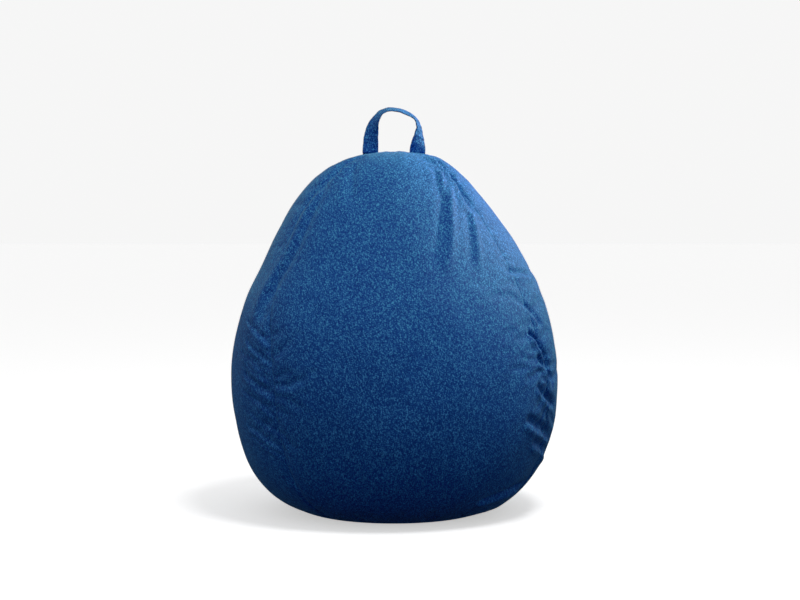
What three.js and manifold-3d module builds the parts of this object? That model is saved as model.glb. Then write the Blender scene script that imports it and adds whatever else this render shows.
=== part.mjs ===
// Bean bag chair: an egg-shaped cover of woven fabric, sewn from five upright panels, an oval
// cap and a round base, with a carry handle on the cap and a zip up the middle of the back.
// A thin liner inside it, closed by a zip of its own, holds the loose bead filling.
//
// Millimetres, Z up. The floor is z = 0, the middle of the base is the origin, the front of the
// bag faces -Y and its left is -X. Angles round the bag are in degrees from the front, and grow
// towards +X: 90 is the right side and 180 the middle of the back.

import * as THREE from 'three';
import { mergeVertices } from 'three/addons/utils/BufferGeometryUtils.js';
import Module from 'manifold-3d';

const wasm = await Module();
wasm.setup();

// ---- Driving dimensions -------------------------------------------------------------------

// Side view of the bag: a flat base, a rolled lower edge, a long side arc and a Bezier crown.
const bodyHeight = 883;
const baseRadius = 215;
const widestRadius = 400;
const widestHeight = 325;
const sideArcRadius = 560;
const sideArcBottom = 146;
const sideArcTop = 558;
const shoulderPull = 330;
const crownPull = 118;

// Cover: the seam angles are given at even steps from the base seam up to the cap seam.
const coverThickness = 2;
const seamGap = 0.6;
const leftFrontSeam = [-38, -42, -45, -54, -59, -50];
const rightFrontSeam = [72, 71, 64, 58, 54, 58];
const backSeamAngle = 118;
const cap = { centreX: -20, centreY: 50, halfLength: 175, halfWidth: 84, yaw: 12 };

// Zips. Across the track the depths are measured inwards from the fabric that the zip is in.
const zip = {
  length: 390,
  middleAngle: 3,
  slotHalfWidth: 6,
  slotEase: 12,
  tapeInner: 0.6,
  tapeOuter: 15,
  tapeTop: 2.8,
  tapeThickness: 0.6,
  tapeTail: 8,
  teethOuter: 3.2,
  teethTop: 0.6,
  stopLength: 3,
  sliderLength: 14,
  sliderHalfWidth: 4.8,
  plateThickness: 1.2,
  webHalfWidth: 0.3,
  clearance: 0.3,
};
const bridge = {
  length: 8.4, height: 3.6, width: 2.4, bar: 1.2, foot: 2, slope: 1, sink: 0.2, sill: 0.05,
};
const pull = {
  length: 27, width: 7, thickness: 1.4, bar: 1.6, windowWidth: 3.8, windowLength: 7, corner: 1,
};

// Carry handle: a folded strap whose two ends are sewn flat on the cap. The twist is in degrees,
// at even steps along the loop.
const strapWidth = 39;
const strapThickness = 3;
const strapEndLength = 45;
const strapSpacing = 116;
const sewnLift = 0.3;
const foldHeight = 4.2;
const loopHeight = 101;
const loopTwist = [0, 20, 38, 60, 72, 76, 76, 79, 66, 27, 0];
const stitchBox = { width: 29, length: 34, thread: 1.1, lift: 0.9 };

// Inside.
const linerDepth = 8;
const linerThickness = 1.2;
const linerZipAngle = 90;
const fillDepth = 14;

// Mesh fineness.
const rowStep = 1 / 16;
const columnDegrees = 9;
const zipSteps = 15;
const capRings = 4;
const handleSteps = 30;
const sewnEndStep = 1 / 3;
const besideZip = 0.06;
const besideLinerZip = 0.12;
const linerColumnStep = 1 / 10;
const fillColumns = 28;

// ---- Colours ------------------------------------------------------------------------------

const fabric = (color) => new THREE.MeshStandardMaterial({ color, roughness: 0.9, metalness: 0 });
const metal = (color) => new THREE.MeshStandardMaterial({ color, roughness: 0.35, metalness: 1 });
const coverBlue = 0x235a9c;
const strapBlue = 0x1f5190;
const threadBlue = 0x2e66a8;
const tapeBlue = 0x17406f;
const teethBlue = 0x1b4a80;
const nickel = 0xb9bcc0;
const linerWhite = 0xe9e9e4;
const beadWhite = 0xf6f6f2;

// ---- Small helpers ------------------------------------------------------------------------

const radians = THREE.MathUtils.degToRad;
const lerp = THREE.MathUtils.lerp;

// Fractions from 0 to 1 through every stop, no further apart than the longest step.
function subdivide(stops, longest) {
  const out = [stops[0]];
  for (let k = 1; k < stops.length; k += 1) {
    const count = Math.ceil((stops[k] - stops[k - 1]) / longest - 1e-6);
    for (let i = 1; i <= count; i += 1) {
      out.push(lerp(stops[k - 1], stops[k], i / count));
    }
  }
  return out;
}

function geometryFrom(points, faces) {
  const geometry = new THREE.BufferGeometry();
  const flat = points.flatMap((p) => [p.x, p.y, p.z]);
  geometry.setAttribute('position', new THREE.Float32BufferAttribute(flat, 3));
  geometry.setIndex(faces.flat());
  geometry.computeVertexNormals();
  return geometry;
}

// A closed sheet between two grids of points: the outer one is seen from outside with its
// columns running to the right and its rows running up.
function closedSheet(outer, inner) {
  const rows = outer.length;
  const columns = outer[0].length;
  const points = [...outer.flat(), ...inner.flat()];
  const out = (j, i) => j * columns + i;
  const back = (j, i) => rows * columns + j * columns + i;
  const faces = [];
  const quad = (a, b, c, d) => faces.push([a, b, c], [a, c, d]);
  for (let j = 0; j < rows - 1; j += 1) {
    for (let i = 0; i < columns - 1; i += 1) {
      quad(out(j, i), out(j, i + 1), out(j + 1, i + 1), out(j + 1, i));
      quad(back(j, i), back(j + 1, i), back(j + 1, i + 1), back(j, i + 1));
    }
  }
  for (let i = 0; i < columns - 1; i += 1) {
    quad(back(0, i), back(0, i + 1), out(0, i + 1), out(0, i));
    quad(out(rows - 1, i), out(rows - 1, i + 1), back(rows - 1, i + 1), back(rows - 1, i));
  }
  for (let j = 0; j < rows - 1; j += 1) {
    quad(out(j, 0), out(j + 1, 0), back(j + 1, 0), back(j, 0));
    quad(back(j, columns - 1), back(j + 1, columns - 1), out(j + 1, columns - 1), out(j, columns - 1));
  }
  return geometryFrom(points, faces);
}

// A closed round sheet: rings of points from the rim inwards, ending at one middle point.
function closedDome(outerRings, outerMiddle, innerRings, innerMiddle) {
  const rings = outerRings.length;
  const around = outerRings[0].length;
  const points = [...outerRings.flat(), outerMiddle, ...innerRings.flat(), innerMiddle];
  const innerStart = rings * around + 1;
  const faces = [];
  const at = (start, j, i) => start + j * around + (i % around);
  for (let i = 0; i < around; i += 1) {
    for (let j = 0; j < rings - 1; j += 1) {
      const a = at(0, j, i);
      const b = at(0, j, i + 1);
      const c = at(0, j + 1, i + 1);
      const d = at(0, j + 1, i);
      faces.push([a, b, c], [a, c, d]);
      faces.push([a + innerStart, c + innerStart, b + innerStart]);
      faces.push([a + innerStart, d + innerStart, c + innerStart]);
    }
    const last = at(0, rings - 1, i);
    const next = at(0, rings - 1, i + 1);
    faces.push([last, next, innerStart - 1]);
    faces.push([next + innerStart, last + innerStart, points.length - 1]);
    const rim = at(0, 0, i);
    const rimNext = at(0, 0, i + 1);
    faces.push([rim, rim + innerStart, rimNext + innerStart], [rim, rimNext + innerStart, rimNext]);
  }
  return geometryFrom(points, faces);
}

// The corners that an extrusion keeps apart are merged first, so that the solid is closed.
function toManifold(geometry) {
  const plain = geometry.clone();
  plain.deleteAttribute('normal');
  plain.deleteAttribute('uv');
  const merged = mergeVertices(plain, 1e-4);
  return new wasm.Manifold(new wasm.Mesh({
    numProp: 3,
    vertProperties: new Float32Array(merged.attributes.position.array),
    triVerts: new Uint32Array(merged.index.array),
  }));
}

function fromManifold(solid) {
  const mesh = solid.getMesh();
  const geometry = new THREE.BufferGeometry();
  geometry.setAttribute('position', new THREE.Float32BufferAttribute(mesh.vertProperties, 3));
  geometry.setIndex(Array.from(mesh.triVerts));
  geometry.computeVertexNormals();
  return geometry;
}

function joined(first, second) {
  return fromManifold(toManifold(first).add(toManifold(second)));
}

function node(name, geometry, material) {
  const mesh = new THREE.Mesh(geometry, material);
  mesh.name = name;
  return mesh;
}

// ---- The bag's shape ----------------------------------------------------------------------

const sideArcCentre = new THREE.Vector2(widestRadius - sideArcRadius, widestHeight);
const sideStartAngle = Math.asin((sideArcBottom - widestHeight) / sideArcRadius);
const sideEndAngle = Math.asin((sideArcTop - widestHeight) / sideArcRadius);
const profile = makeProfile();
const profileLength = profile.getLength();
const lowerArcLength = profile.curves[0].getLength();

// The half outline in (radius, height), from the base seam up to the middle of the top.
function makeProfile() {
  const onSideArc = (angle) => new THREE.Vector2(Math.cos(angle), Math.sin(angle))
    .multiplyScalar(sideArcRadius).add(sideArcCentre);
  const sideStart = onSideArc(sideStartAngle);
  const sideEnd = onSideArc(sideEndAngle);

  // The lower roll is the circle through the base seam that meets the side arc smoothly.
  const outward = new THREE.Vector2(Math.cos(sideStartAngle), Math.sin(sideStartAngle));
  const toSeam = new THREE.Vector2(baseRadius, 0).sub(sideStart);
  const rollRadius = -toSeam.lengthSq() / (2 * toSeam.dot(outward));
  const rollCentre = sideStart.clone().addScaledVector(outward, -rollRadius);
  const rollStart = Math.atan2(-rollCentre.y, baseRadius - rollCentre.x);

  const up = new THREE.Vector2(-Math.sin(sideEndAngle), Math.cos(sideEndAngle));
  const shoulder = sideEnd.clone().addScaledVector(up, shoulderPull);
  const path = new THREE.CurvePath();
  path.add(arc(rollCentre, rollRadius, rollStart, sideStartAngle));
  path.add(arc(sideArcCentre, sideArcRadius, sideStartAngle, sideEndAngle));
  path.add(new THREE.CubicBezierCurve(
    sideEnd, shoulder, new THREE.Vector2(crownPull, bodyHeight), new THREE.Vector2(0, bodyHeight),
  ));
  return path;
}

function arc(centre, radius, start, end) {
  return new THREE.EllipseCurve(centre.x, centre.y, radius, radius, start, end, false, 0);
}

// A point of the outline, a given length up from the base seam and a given depth inside.
function outlineAt(length, depth) {
  const t = THREE.MathUtils.clamp(length / profileLength, 0, 1);
  const point = profile.getPoint(t);
  const tangent = profile.getTangent(t);
  return new THREE.Vector2(point.x - tangent.y * depth, point.y + tangent.x * depth);
}

// The same point taken round the bag.
function bagPoint(angle, length, depth) {
  const point = outlineAt(length, depth);
  const turn = radians(angle);
  return new THREE.Vector3(point.x * Math.sin(turn), -point.x * Math.cos(turn), point.y);
}

// The length up the outline at which the crown has narrowed to this radius.
function lengthAtRadius(radius) {
  let low = lowerArcLength + sideArcRadius * (sideEndAngle - sideStartAngle);
  let high = profileLength;
  for (let i = 0; i < 40; i += 1) {
    const middle = (low + high) / 2;
    if (outlineAt(middle, 0).x > radius) {
      low = middle;
    } else {
      high = middle;
    }
  }
  return low;
}

function crownHeight(x, y) {
  return outlineAt(lengthAtRadius(Math.hypot(x, y)), 0).y;
}

// Where the cap's oval seam crosses the line up the bag at this angle.
function capSeamLength(angle) {
  const turn = radians(angle);
  const yaw = radians(cap.yaw);
  const scaled = (x, y) => new THREE.Vector2(
    (x * Math.cos(yaw) + y * Math.sin(yaw)) / cap.halfLength,
    (y * Math.cos(yaw) - x * Math.sin(yaw)) / cap.halfWidth,
  );
  const along = scaled(Math.sin(turn), -Math.cos(turn));
  const centre = scaled(cap.centreX, cap.centreY);
  const middle = along.dot(centre);
  const root = Math.sqrt(middle ** 2 + along.lengthSq() * (1 - centre.lengthSq()));
  return lengthAtRadius((middle + root) / along.lengthSq());
}

// ---- Cover panels -------------------------------------------------------------------------

const zipStart = radians(zip.middleAngle) - zip.length / sideArcRadius / 2;
const zipEnd = radians(zip.middleAngle) + zip.length / sideArcRadius / 2;
const lengthAtArcAngle = (angle) => lowerArcLength + sideArcRadius * (angle - sideStartAngle);

// A smooth curve through angles given at even steps.
function angleCurve(angles) {
  const points = angles.map((angle, i) => new THREE.Vector2(i / (angles.length - 1), angle));
  return new THREE.SplineCurve(points);
}

const straight = (angle) => () => angle;
const curved = (angles) => {
  const curve = angleCurve(angles);
  return (height) => curve.getPoint(height).y;
};
const leftFront = curved(leftFrontSeam);
const rightFront = curved(rightFrontSeam);

const plainEdge = () => seamGap / 2;

// The edge that holds the zip stands back from the middle all along the zip.
function zippedEdge(length) {
  const fromSlot = Math.max(lengthAtArcAngle(zipStart) - length, length - lengthAtArcAngle(zipEnd), 0);
  return lerp(zip.slotHalfWidth, seamGap / 2, Math.min(fromSlot / zip.slotEase, 1));
}

const zipRowStep = zip.length / zipSteps;

// Rows up a zipped edge: even steps along the zip, with a short step at either end of it.
function zippedRows(total) {
  const start = lengthAtArcAngle(zipStart);
  const end = lengthAtArcAngle(zipEnd);
  const below = subdivide([0, (start - zip.slotEase) / total], rowStep);
  const along = subdivide([start / total, end / total], zipRowStep / total);
  const above = subdivide([(end + zip.slotEase) / total, 1], rowStep);
  return [...below, ...along, ...above];
}

const plainRows = subdivide([0, 1], rowStep);
const backRows = zippedRows(capSeamLength(180));
const evenColumns = (left, right) => subdivide([0, 1], columnDegrees / (right(0.5) - left(0.5)));

const panels = [
  { name: 'front_panel', left: leftFront, right: rightFront },
  { name: 'right_side_panel', left: rightFront, right: straight(backSeamAngle) },
  {
    name: 'back_right_panel',
    left: straight(backSeamAngle),
    right: straight(180),
    rightEdge: zippedEdge,
    rows: backRows,
    columnStops: [0, 1 - besideZip, 1],
  },
  {
    name: 'back_left_panel',
    left: straight(-180),
    right: straight(-backSeamAngle),
    leftEdge: zippedEdge,
    rows: backRows,
    columnStops: [0, besideZip, 1],
  },
  { name: 'left_side_panel', left: straight(-backSeamAngle), right: leftFront },
].map((panel) => ({
  leftEdge: plainEdge,
  rightEdge: plainEdge,
  rows: plainRows,
  ...panel,
  columns: panel.columnStops
    ? subdivide(panel.columnStops, columnDegrees / (180 - backSeamAngle))
    : evenColumns(panel.left, panel.right),
}));

function panelGrid(panel, depth) {
  return panel.rows.map((height) => panel.columns.map((across) => {
    const seamToSeam = lerp(panel.left(height), panel.right(height), across);
    const reach = capSeamLength(seamToSeam);
    const length = THREE.MathUtils.clamp(height * reach, 0, reach - seamGap / 2);
    const radius = outlineAt(length, depth).x;
    const leftInset = THREE.MathUtils.radToDeg(panel.leftEdge(length) / radius);
    const rightInset = THREE.MathUtils.radToDeg(panel.rightEdge(length) / radius);
    return bagPoint(seamToSeam + lerp(leftInset, -rightInset, across), length, depth);
  }));
}

function coverPanel(panel) {
  const geometry = closedSheet(panelGrid(panel, 0), panelGrid(panel, coverThickness));
  return node(panel.name, geometry, fabric(coverBlue));
}

// The angles at which the panels' columns meet the round seams at the top and the bottom.
function rimAngles(height) {
  return panels.flatMap((panel) => panel.columns.slice(0, -1)
    .map((across) => lerp(panel.left(height), panel.right(height), across)));
}

function topCap() {
  const angles = rimAngles(1);
  const rings = (depth) => Array.from({ length: capRings }, (_, k) => angles.map((angle) => {
    const rim = capSeamLength(angle) + seamGap / 2;
    return bagPoint(angle, lerp(rim, profileLength, k / capRings), depth);
  }));
  const middle = (depth) => new THREE.Vector3(0, 0, bodyHeight - depth);
  const geometry = closedDome(rings(0), middle(0), rings(coverThickness), middle(coverThickness));
  return node('top_cap_panel', geometry, fabric(coverBlue));
}

// The base is drawn like a dome seen from below, so its rim runs the other way round.
function basePanel() {
  const angles = rimAngles(0).reverse();
  const radius = baseRadius - coverThickness / 2;
  const rings = (height) => [1, 0.5].map((part) => angles.map((angle) => new THREE.Vector3(
    part * radius * Math.sin(radians(angle)), -part * radius * Math.cos(radians(angle)), height,
  )));
  const middle = (height) => new THREE.Vector3(0, 0, height);
  const top = coverThickness;
  return node('base_panel', closedDome(rings(0), middle(0), rings(top), middle(top)), fabric(coverBlue));
}

// ---- Carry handle -------------------------------------------------------------------------

const foldLine = crownHeight(strapSpacing / 2, 0) + strapThickness + foldHeight;

// The loop's middle line, from its left foot over the top to its right foot. It stands lopsided:
// its highest point is left of the middle, and the strap slopes from there to a bend at the right.
const loopLine = new THREE.CatmullRomCurve3([
  [-0.5, 0], [-0.492, 0.2], [-0.475, 0.44], [-0.42, 0.68], [-0.31, 0.885], [-0.2, 0.965],
  [-0.065, 1], [0.13, 0.965], [0.27, 0.91], [0.39, 0.835], [0.48, 0.745], [0.53, 0.59],
  [0.53, 0.38], [0.51, 0.17], [0.5, 0],
].map(([across, up]) => new THREE.Vector3(across * strapSpacing, 0, foldLine + up * loopHeight)));

// The strap leaves the cap facing forwards and twists until its face looks up over the hand.
const twistCurve = angleCurve(loopTwist);

function handleLoop() {
  const rings = Array.from({ length: handleSteps + 1 }, (_, k) => {
    const t = k / handleSteps;
    const middle = loopLine.getPointAt(t);
    const along = loopLine.getTangentAt(t);
    const outward = new THREE.Vector3(-along.z, 0, along.x);
    const turn = radians(twistCurve.getPoint(t).y);
    const face = new THREE.Vector3(0, -Math.cos(turn), 0).addScaledVector(outward, Math.sin(turn));
    const across = new THREE.Vector3().crossVectors(along, face);
    const corner = (side, rise) => middle.clone()
      .addScaledVector(across, side * strapWidth / 2)
      .addScaledVector(face, rise * strapThickness / 2);
    return { outer: [corner(-1, 1), corner(1, 1)], inner: [corner(-1, -1), corner(1, -1)] };
  });
  const geometry = closedSheet(rings.map((ring) => ring.outer), rings.map((ring) => ring.inner));
  return node('handle_loop', geometry, fabric(strapBlue));
}

// A flat piece laid on the crown, from a middle x and a first y, lifted clear of the fabric.
function laidOnCrown(middleX, width, firstY, length, lift, thickness) {
  const acrossStops = subdivide([0, 1], sewnEndStep);
  const grid = (height) => acrossStops.map((along) => acrossStops.map((across) => {
    const x = middleX + (across - 0.5) * width;
    const y = firstY + along * length;
    return new THREE.Vector3(x, y, crownHeight(x, y) + height);
  }));
  return closedSheet(grid(lift + thickness), grid(lift));
}

function handleEnd(name, side) {
  const middleX = side * strapSpacing / 2;
  const firstY = -strapThickness / 2;
  const geometry = laidOnCrown(middleX, strapWidth, firstY, strapEndLength, sewnLift, strapThickness);
  return node(name, geometry, fabric(strapBlue));
}

// Box stitching with a cross in it, as one net of thread.
function stitchNet(name, side) {
  const { width, length, thread } = stitchBox;
  const outline = new THREE.Shape();
  outline.moveTo(-width / 2, -length / 2);
  outline.lineTo(width / 2, -length / 2);
  outline.lineTo(width / 2, length / 2);
  outline.lineTo(-width / 2, length / 2);
  outline.closePath();
  const slant = Math.hypot(width, length) / length;
  const lean = Math.hypot(width, length) / width;
  const insideX = width / 2 - thread;
  const insideY = length / 2 - thread;
  for (const turn of [1, -1]) {
    const endHole = new THREE.Path();
    endHole.moveTo(0, turn * thread * lean / 2);
    endHole.lineTo(insideX - thread * slant / 2, turn * insideY);
    endHole.lineTo(-insideX + thread * slant / 2, turn * insideY);
    endHole.closePath();
    const sideHole = new THREE.Path();
    sideHole.moveTo(turn * thread * slant / 2, 0);
    sideHole.lineTo(turn * insideX, insideY - thread * lean / 2);
    sideHole.lineTo(turn * insideX, -insideY + thread * lean / 2);
    sideHole.closePath();
    outline.holes.push(endHole, sideHole);
  }
  const geometry = new THREE.ExtrudeGeometry(outline, { depth: thread / 2, bevelEnabled: false });
  const mesh = node(name, geometry, fabric(threadBlue));
  const x = side * strapSpacing / 2;
  const y = (strapEndLength - strapThickness) / 2;
  const reach = stitchBox.width / 2;
  const slope = (crownHeight(x, y + reach) - crownHeight(x, y - reach)) / (2 * reach);
  const tilt = (crownHeight(x - reach, y) - crownHeight(x + reach, y)) / (2 * reach);
  mesh.position.set(x, y, crownHeight(x, y) + strapThickness + stitchBox.lift);
  mesh.rotation.set(Math.atan(slope), Math.atan(tilt), 0);
  return mesh;
}

// ---- Zips ---------------------------------------------------------------------------------
// A zip is built at the front of the bag, so outwards is -Y, and its group is turned to its
// place. Its fabric may lie some depth inside the cover.

function trackPoint(across, depth, arcAngle) {
  const radius = sideArcRadius - depth;
  const out = sideArcCentre.x + radius * Math.cos(arcAngle);
  return new THREE.Vector3(across, -out, sideArcCentre.y + radius * Math.sin(arcAngle));
}

// A strip that follows the track between two arc angles, with a rectangular section.
function trackStrip(left, right, top, bottom, start, end, steps) {
  const rows = Array.from({ length: steps + 1 }, (_, k) => lerp(start, end, k / steps));
  const grid = (depth) => rows.map((angle) => [left, right].map((x) => trackPoint(x, depth, angle)));
  return closedSheet(grid(top), grid(bottom));
}

// Turns a piece drawn about the origin, with +Z up the track and -Y outwards, into its place.
function placeOnTrack(mesh, depth, arcAngle) {
  mesh.position.copy(trackPoint(0, depth, arcAngle));
  mesh.rotation.x = -arcAngle;
  return mesh;
}

// The slider: two plates joined by a thin web that runs between the two rows of teeth.
function sliderBody(withBridge) {
  const half = zip.sliderHalfWidth;
  const web = zip.webHalfWidth;
  const under = zip.teethTop - zip.clearance;
  const top = under - zip.plateThickness;
  const flangeEnd = zip.tapeTop - zip.clearance;
  const flangeInner = zip.teethOuter + zip.clearance;
  const floor = zip.tapeTop + zip.tapeThickness + zip.clearance;
  const bottom = floor + zip.plateThickness;
  const section = new THREE.Shape([
    [-half, top], [half, top], [half, flangeEnd], [flangeInner, flangeEnd], [flangeInner, under],
    [web, under], [web, floor], [half, floor], [half, bottom], [-half, bottom], [-half, floor],
    [-web, floor], [-web, under], [-flangeInner, under], [-flangeInner, flangeEnd],
    [-half, flangeEnd],
  ].map(([x, y]) => new THREE.Vector2(x, y)));
  const body = new THREE.ExtrudeGeometry(section, { depth: zip.sliderLength, bevelEnabled: false });
  body.translate(0, 0, -zip.sliderLength / 2);
  return withBridge ? joined(body, sliderBridge(top)) : body;
}

// The small bridge over the top plate that the pull hangs from.
function sliderBridge(plateTop) {
  const side = new THREE.Shape();
  const half = bridge.length / 2;
  side.moveTo(-half, -bridge.sink);
  side.lineTo(half, -bridge.sink);
  side.lineTo(half - bridge.slope, bridge.height);
  side.lineTo(-half + bridge.slope, bridge.height);
  side.closePath();
  const eye = new THREE.Path();
  const eyeHalf = half - bridge.foot;
  eye.moveTo(-eyeHalf, bridge.sill);
  eye.lineTo(-eyeHalf, bridge.height - bridge.bar);
  eye.lineTo(eyeHalf, bridge.height - bridge.bar);
  eye.lineTo(eyeHalf, bridge.sill);
  eye.closePath();
  side.holes.push(eye);
  const geometry = new THREE.ExtrudeGeometry(side, { depth: bridge.width, bevelEnabled: false });
  geometry.translate(0, 0, -bridge.width / 2);
  // The drawing's x runs up the track, its y outwards and its depth across.
  geometry.rotateY(-Math.PI / 2);
  geometry.rotateZ(Math.PI);
  geometry.translate(0, plateTop, 0);
  return geometry;
}

const pullPivotDepth = zip.teethTop - zip.clearance - zip.plateThickness
  - (bridge.height - bridge.bar) / 2;

// The pull hangs from the bridge: a flat tab with a window for the bridge at its upper end.
function pullTab() {
  const half = pull.width / 2;
  const end = -pull.length + half;
  const tab = new THREE.Shape();
  tab.moveTo(-half + pull.corner, pull.bar / 2);
  tab.lineTo(-half, pull.bar / 2 - pull.corner);
  tab.lineTo(-half, end);
  tab.absarc(0, end, half, Math.PI, 2 * Math.PI, false);
  tab.lineTo(half, pull.bar / 2 - pull.corner);
  tab.lineTo(half - pull.corner, pull.bar / 2);
  tab.closePath();
  const windowHalf = pull.windowWidth / 2;
  const window = new THREE.Path();
  window.moveTo(-windowHalf, -pull.bar / 2);
  window.lineTo(-windowHalf, -pull.bar / 2 - pull.windowLength);
  window.lineTo(windowHalf, -pull.bar / 2 - pull.windowLength);
  window.lineTo(windowHalf, -pull.bar / 2);
  window.closePath();
  tab.holes.push(window);
  const geometry = new THREE.ExtrudeGeometry(tab, {
    depth: pull.thickness, bevelEnabled: false, curveSegments: 8,
  });
  geometry.translate(0, 0, -pull.thickness / 2);
  geometry.rotateX(Math.PI / 2);
  return geometry;
}

function zipGroup(prefix, sides, angle, fabricDepth, withPull, color) {
  const group = new THREE.Group();
  const depth = (value) => fabricDepth + value;
  const tapeTail = zip.tapeTail / sideArcRadius;
  const stopArc = zip.stopLength / sideArcRadius;
  for (const [side, sign] of [[sides[0], 1], [sides[1], -1]]) {
    const span = (inner, outer) => (sign > 0 ? [inner, outer] : [-outer, -inner]);
    const tape = trackStrip(
      ...span(zip.tapeInner, zip.tapeOuter), depth(zip.tapeTop),
      depth(zip.tapeTop + zip.tapeThickness), zipStart - tapeTail, zipEnd + tapeTail, zipSteps,
    );
    group.add(node(`${prefix}_zip_tape_${side}`, tape, fabric(color.tape)));
    const teeth = trackStrip(
      ...span(zip.tapeInner, zip.teethOuter), depth(zip.teethTop),
      depth(zip.tapeTop - zip.clearance), zipStart + stopArc, zipEnd - stopArc, zipSteps,
    );
    group.add(node(`${prefix}_zip_teeth_${side}`, teeth, fabric(color.teeth)));
  }
  const stop = (start, end) => trackStrip(
    -zip.teethOuter, zip.teethOuter, depth(zip.teethTop), depth(zip.tapeTop - zip.clearance),
    start, end, 1,
  );
  const hairline = zip.clearance / sideArcRadius;
  group.add(node(`${prefix}_zip_bottom_stop`, stop(zipStart, zipStart + stopArc - hairline), metal(nickel)));
  group.add(node(`${prefix}_zip_top_stop`, stop(zipEnd - stopArc + hairline, zipEnd), metal(nickel)));

  const parked = zipEnd - stopArc - (zip.sliderLength / 2 + zip.clearance) / sideArcRadius;
  const slider = node(`${prefix}_zip_slider`, sliderBody(withPull), metal(nickel));
  group.add(placeOnTrack(slider, fabricDepth, parked));
  if (withPull) {
    const tab = node(`${prefix}_zip_pull`, pullTab(), metal(nickel));
    group.add(placeOnTrack(tab, fabricDepth + pullPivotDepth, parked));
  }
  group.rotation.z = radians(angle);
  return group;
}

// ---- Liner and filling --------------------------------------------------------------------

const lowestFlat = 1;

// The outline at a depth inside the cover, from the middle of its flat bottom to the top.
function innerOutline(depth, lengths) {
  const first = outlineAt(0, depth);
  const flat = [lowestFlat, first.x / 2].map((radius) => new THREE.Vector2(radius, depth));
  const wall = lengths.map((length) => {
    const point = outlineAt(length, depth);
    return new THREE.Vector2(Math.max(point.x, lowestFlat), Math.max(point.y, depth));
  });
  return [...flat, ...wall];
}

function linerHalf(name, from, to, zipAtStart) {
  const start = lengthAtArcAngle(zipStart);
  const end = lengthAtArcAngle(zipEnd);
  const below = subdivide([0, start - zip.slotEase], rowStep * profileLength);
  const along = subdivide([start, end], zipRowStep);
  const above = subdivide([end + zip.slotEase, profileLength], rowStep * profileLength);
  const lengths = [...below, ...along, ...above];
  const flatRows = 2;
  const stops = zipAtStart ? [0, besideLinerZip, 1] : [0, 1 - besideLinerZip, 1];
  const columns = subdivide(stops, linerColumnStep);
  const grid = (depth) => innerOutline(depth, lengths).map((point, j) => columns.map((across) => {
    const inset = (zipped) => {
      const edge = zipped && j >= flatRows ? zippedEdge(lengths[j - flatRows]) : seamGap / 2;
      return THREE.MathUtils.radToDeg(Math.min(edge / point.x, 0.5));
    };
    const first = from + inset(zipAtStart);
    const last = to - inset(!zipAtStart);
    const turn = radians(lerp(first, last, across));
    return new THREE.Vector3(point.x * Math.sin(turn), -point.x * Math.cos(turn), point.y);
  }));
  const geometry = closedSheet(grid(linerDepth), grid(linerDepth + linerThickness));
  return node(name, geometry, fabric(linerWhite));
}

function beadFill() {
  const lengths = subdivide([0, 1], rowStep).map((part) => part * profileLength);
  const outline = innerOutline(fillDepth, lengths);
  outline[0].x = 0;
  outline[outline.length - 1].x = 0;
  const geometry = new THREE.LatheGeometry(outline, fillColumns);
  geometry.rotateX(Math.PI / 2);
  return node('bead_fill', geometry, fabric(beadWhite));
}

// ---- Assembly -----------------------------------------------------------------------------

const chair = new THREE.Group();
chair.add(...panels.map(coverPanel), topCap(), basePanel());
chair.add(handleLoop(), handleEnd('handle_end_left', -1), handleEnd('handle_end_right', 1));
chair.add(stitchNet('handle_stitching_left', -1), stitchNet('handle_stitching_right', 1));
chair.add(zipGroup('cover', ['left', 'right'], 180, 0, true, { tape: tapeBlue, teeth: teethBlue }));
chair.add(linerHalf('liner_front', linerZipAngle - 180, linerZipAngle, false));
chair.add(linerHalf('liner_back', linerZipAngle, linerZipAngle + 180, true));
chair.add(zipGroup(
  'liner', ['back', 'front'], linerZipAngle, linerDepth, false, { tape: linerWhite, teeth: linerWhite },
));
chair.add(beadFill());

export default chair;
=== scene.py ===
"""Bean bag chair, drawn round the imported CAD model: a sewn cover with a carry handle and a zip,
over a liner and a bead filling. Metres, Z up, front towards -Y. Angles round the bag are in
degrees from the front, growing towards +X, and lengths up the bag start at the base seam."""

import math

import bmesh
import bpy
import numpy as np
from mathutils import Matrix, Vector


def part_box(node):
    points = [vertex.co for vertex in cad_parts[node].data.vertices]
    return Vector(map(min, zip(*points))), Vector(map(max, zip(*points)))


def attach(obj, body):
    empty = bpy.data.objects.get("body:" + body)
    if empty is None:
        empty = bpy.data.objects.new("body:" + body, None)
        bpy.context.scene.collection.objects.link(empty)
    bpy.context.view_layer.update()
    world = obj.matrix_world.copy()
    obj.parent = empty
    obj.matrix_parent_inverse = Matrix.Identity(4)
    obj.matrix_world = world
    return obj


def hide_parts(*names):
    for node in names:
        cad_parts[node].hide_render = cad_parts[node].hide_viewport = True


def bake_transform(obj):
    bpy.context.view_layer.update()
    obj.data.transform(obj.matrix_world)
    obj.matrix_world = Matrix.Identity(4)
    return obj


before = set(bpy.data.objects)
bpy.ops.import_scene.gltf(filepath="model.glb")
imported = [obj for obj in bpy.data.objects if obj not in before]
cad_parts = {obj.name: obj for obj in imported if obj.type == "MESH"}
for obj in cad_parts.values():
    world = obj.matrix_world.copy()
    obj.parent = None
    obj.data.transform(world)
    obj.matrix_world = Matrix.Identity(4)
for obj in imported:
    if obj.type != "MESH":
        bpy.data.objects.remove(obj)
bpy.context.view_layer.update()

MM = 0.001

# ---- Sizes, shared with the CAD model ----

BODY_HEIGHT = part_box("top_cap_panel")[1][2]
BASE_RADIUS = 215 * MM
WIDEST_RADIUS = 400 * MM
WIDEST_HEIGHT = 325 * MM
SIDE_ARC_RADIUS = 560 * MM
SIDE_ARC_BOTTOM = 146 * MM
SIDE_ARC_TOP = 558 * MM
SHOULDER_PULL = 330 * MM
CROWN_PULL = 118 * MM

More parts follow.
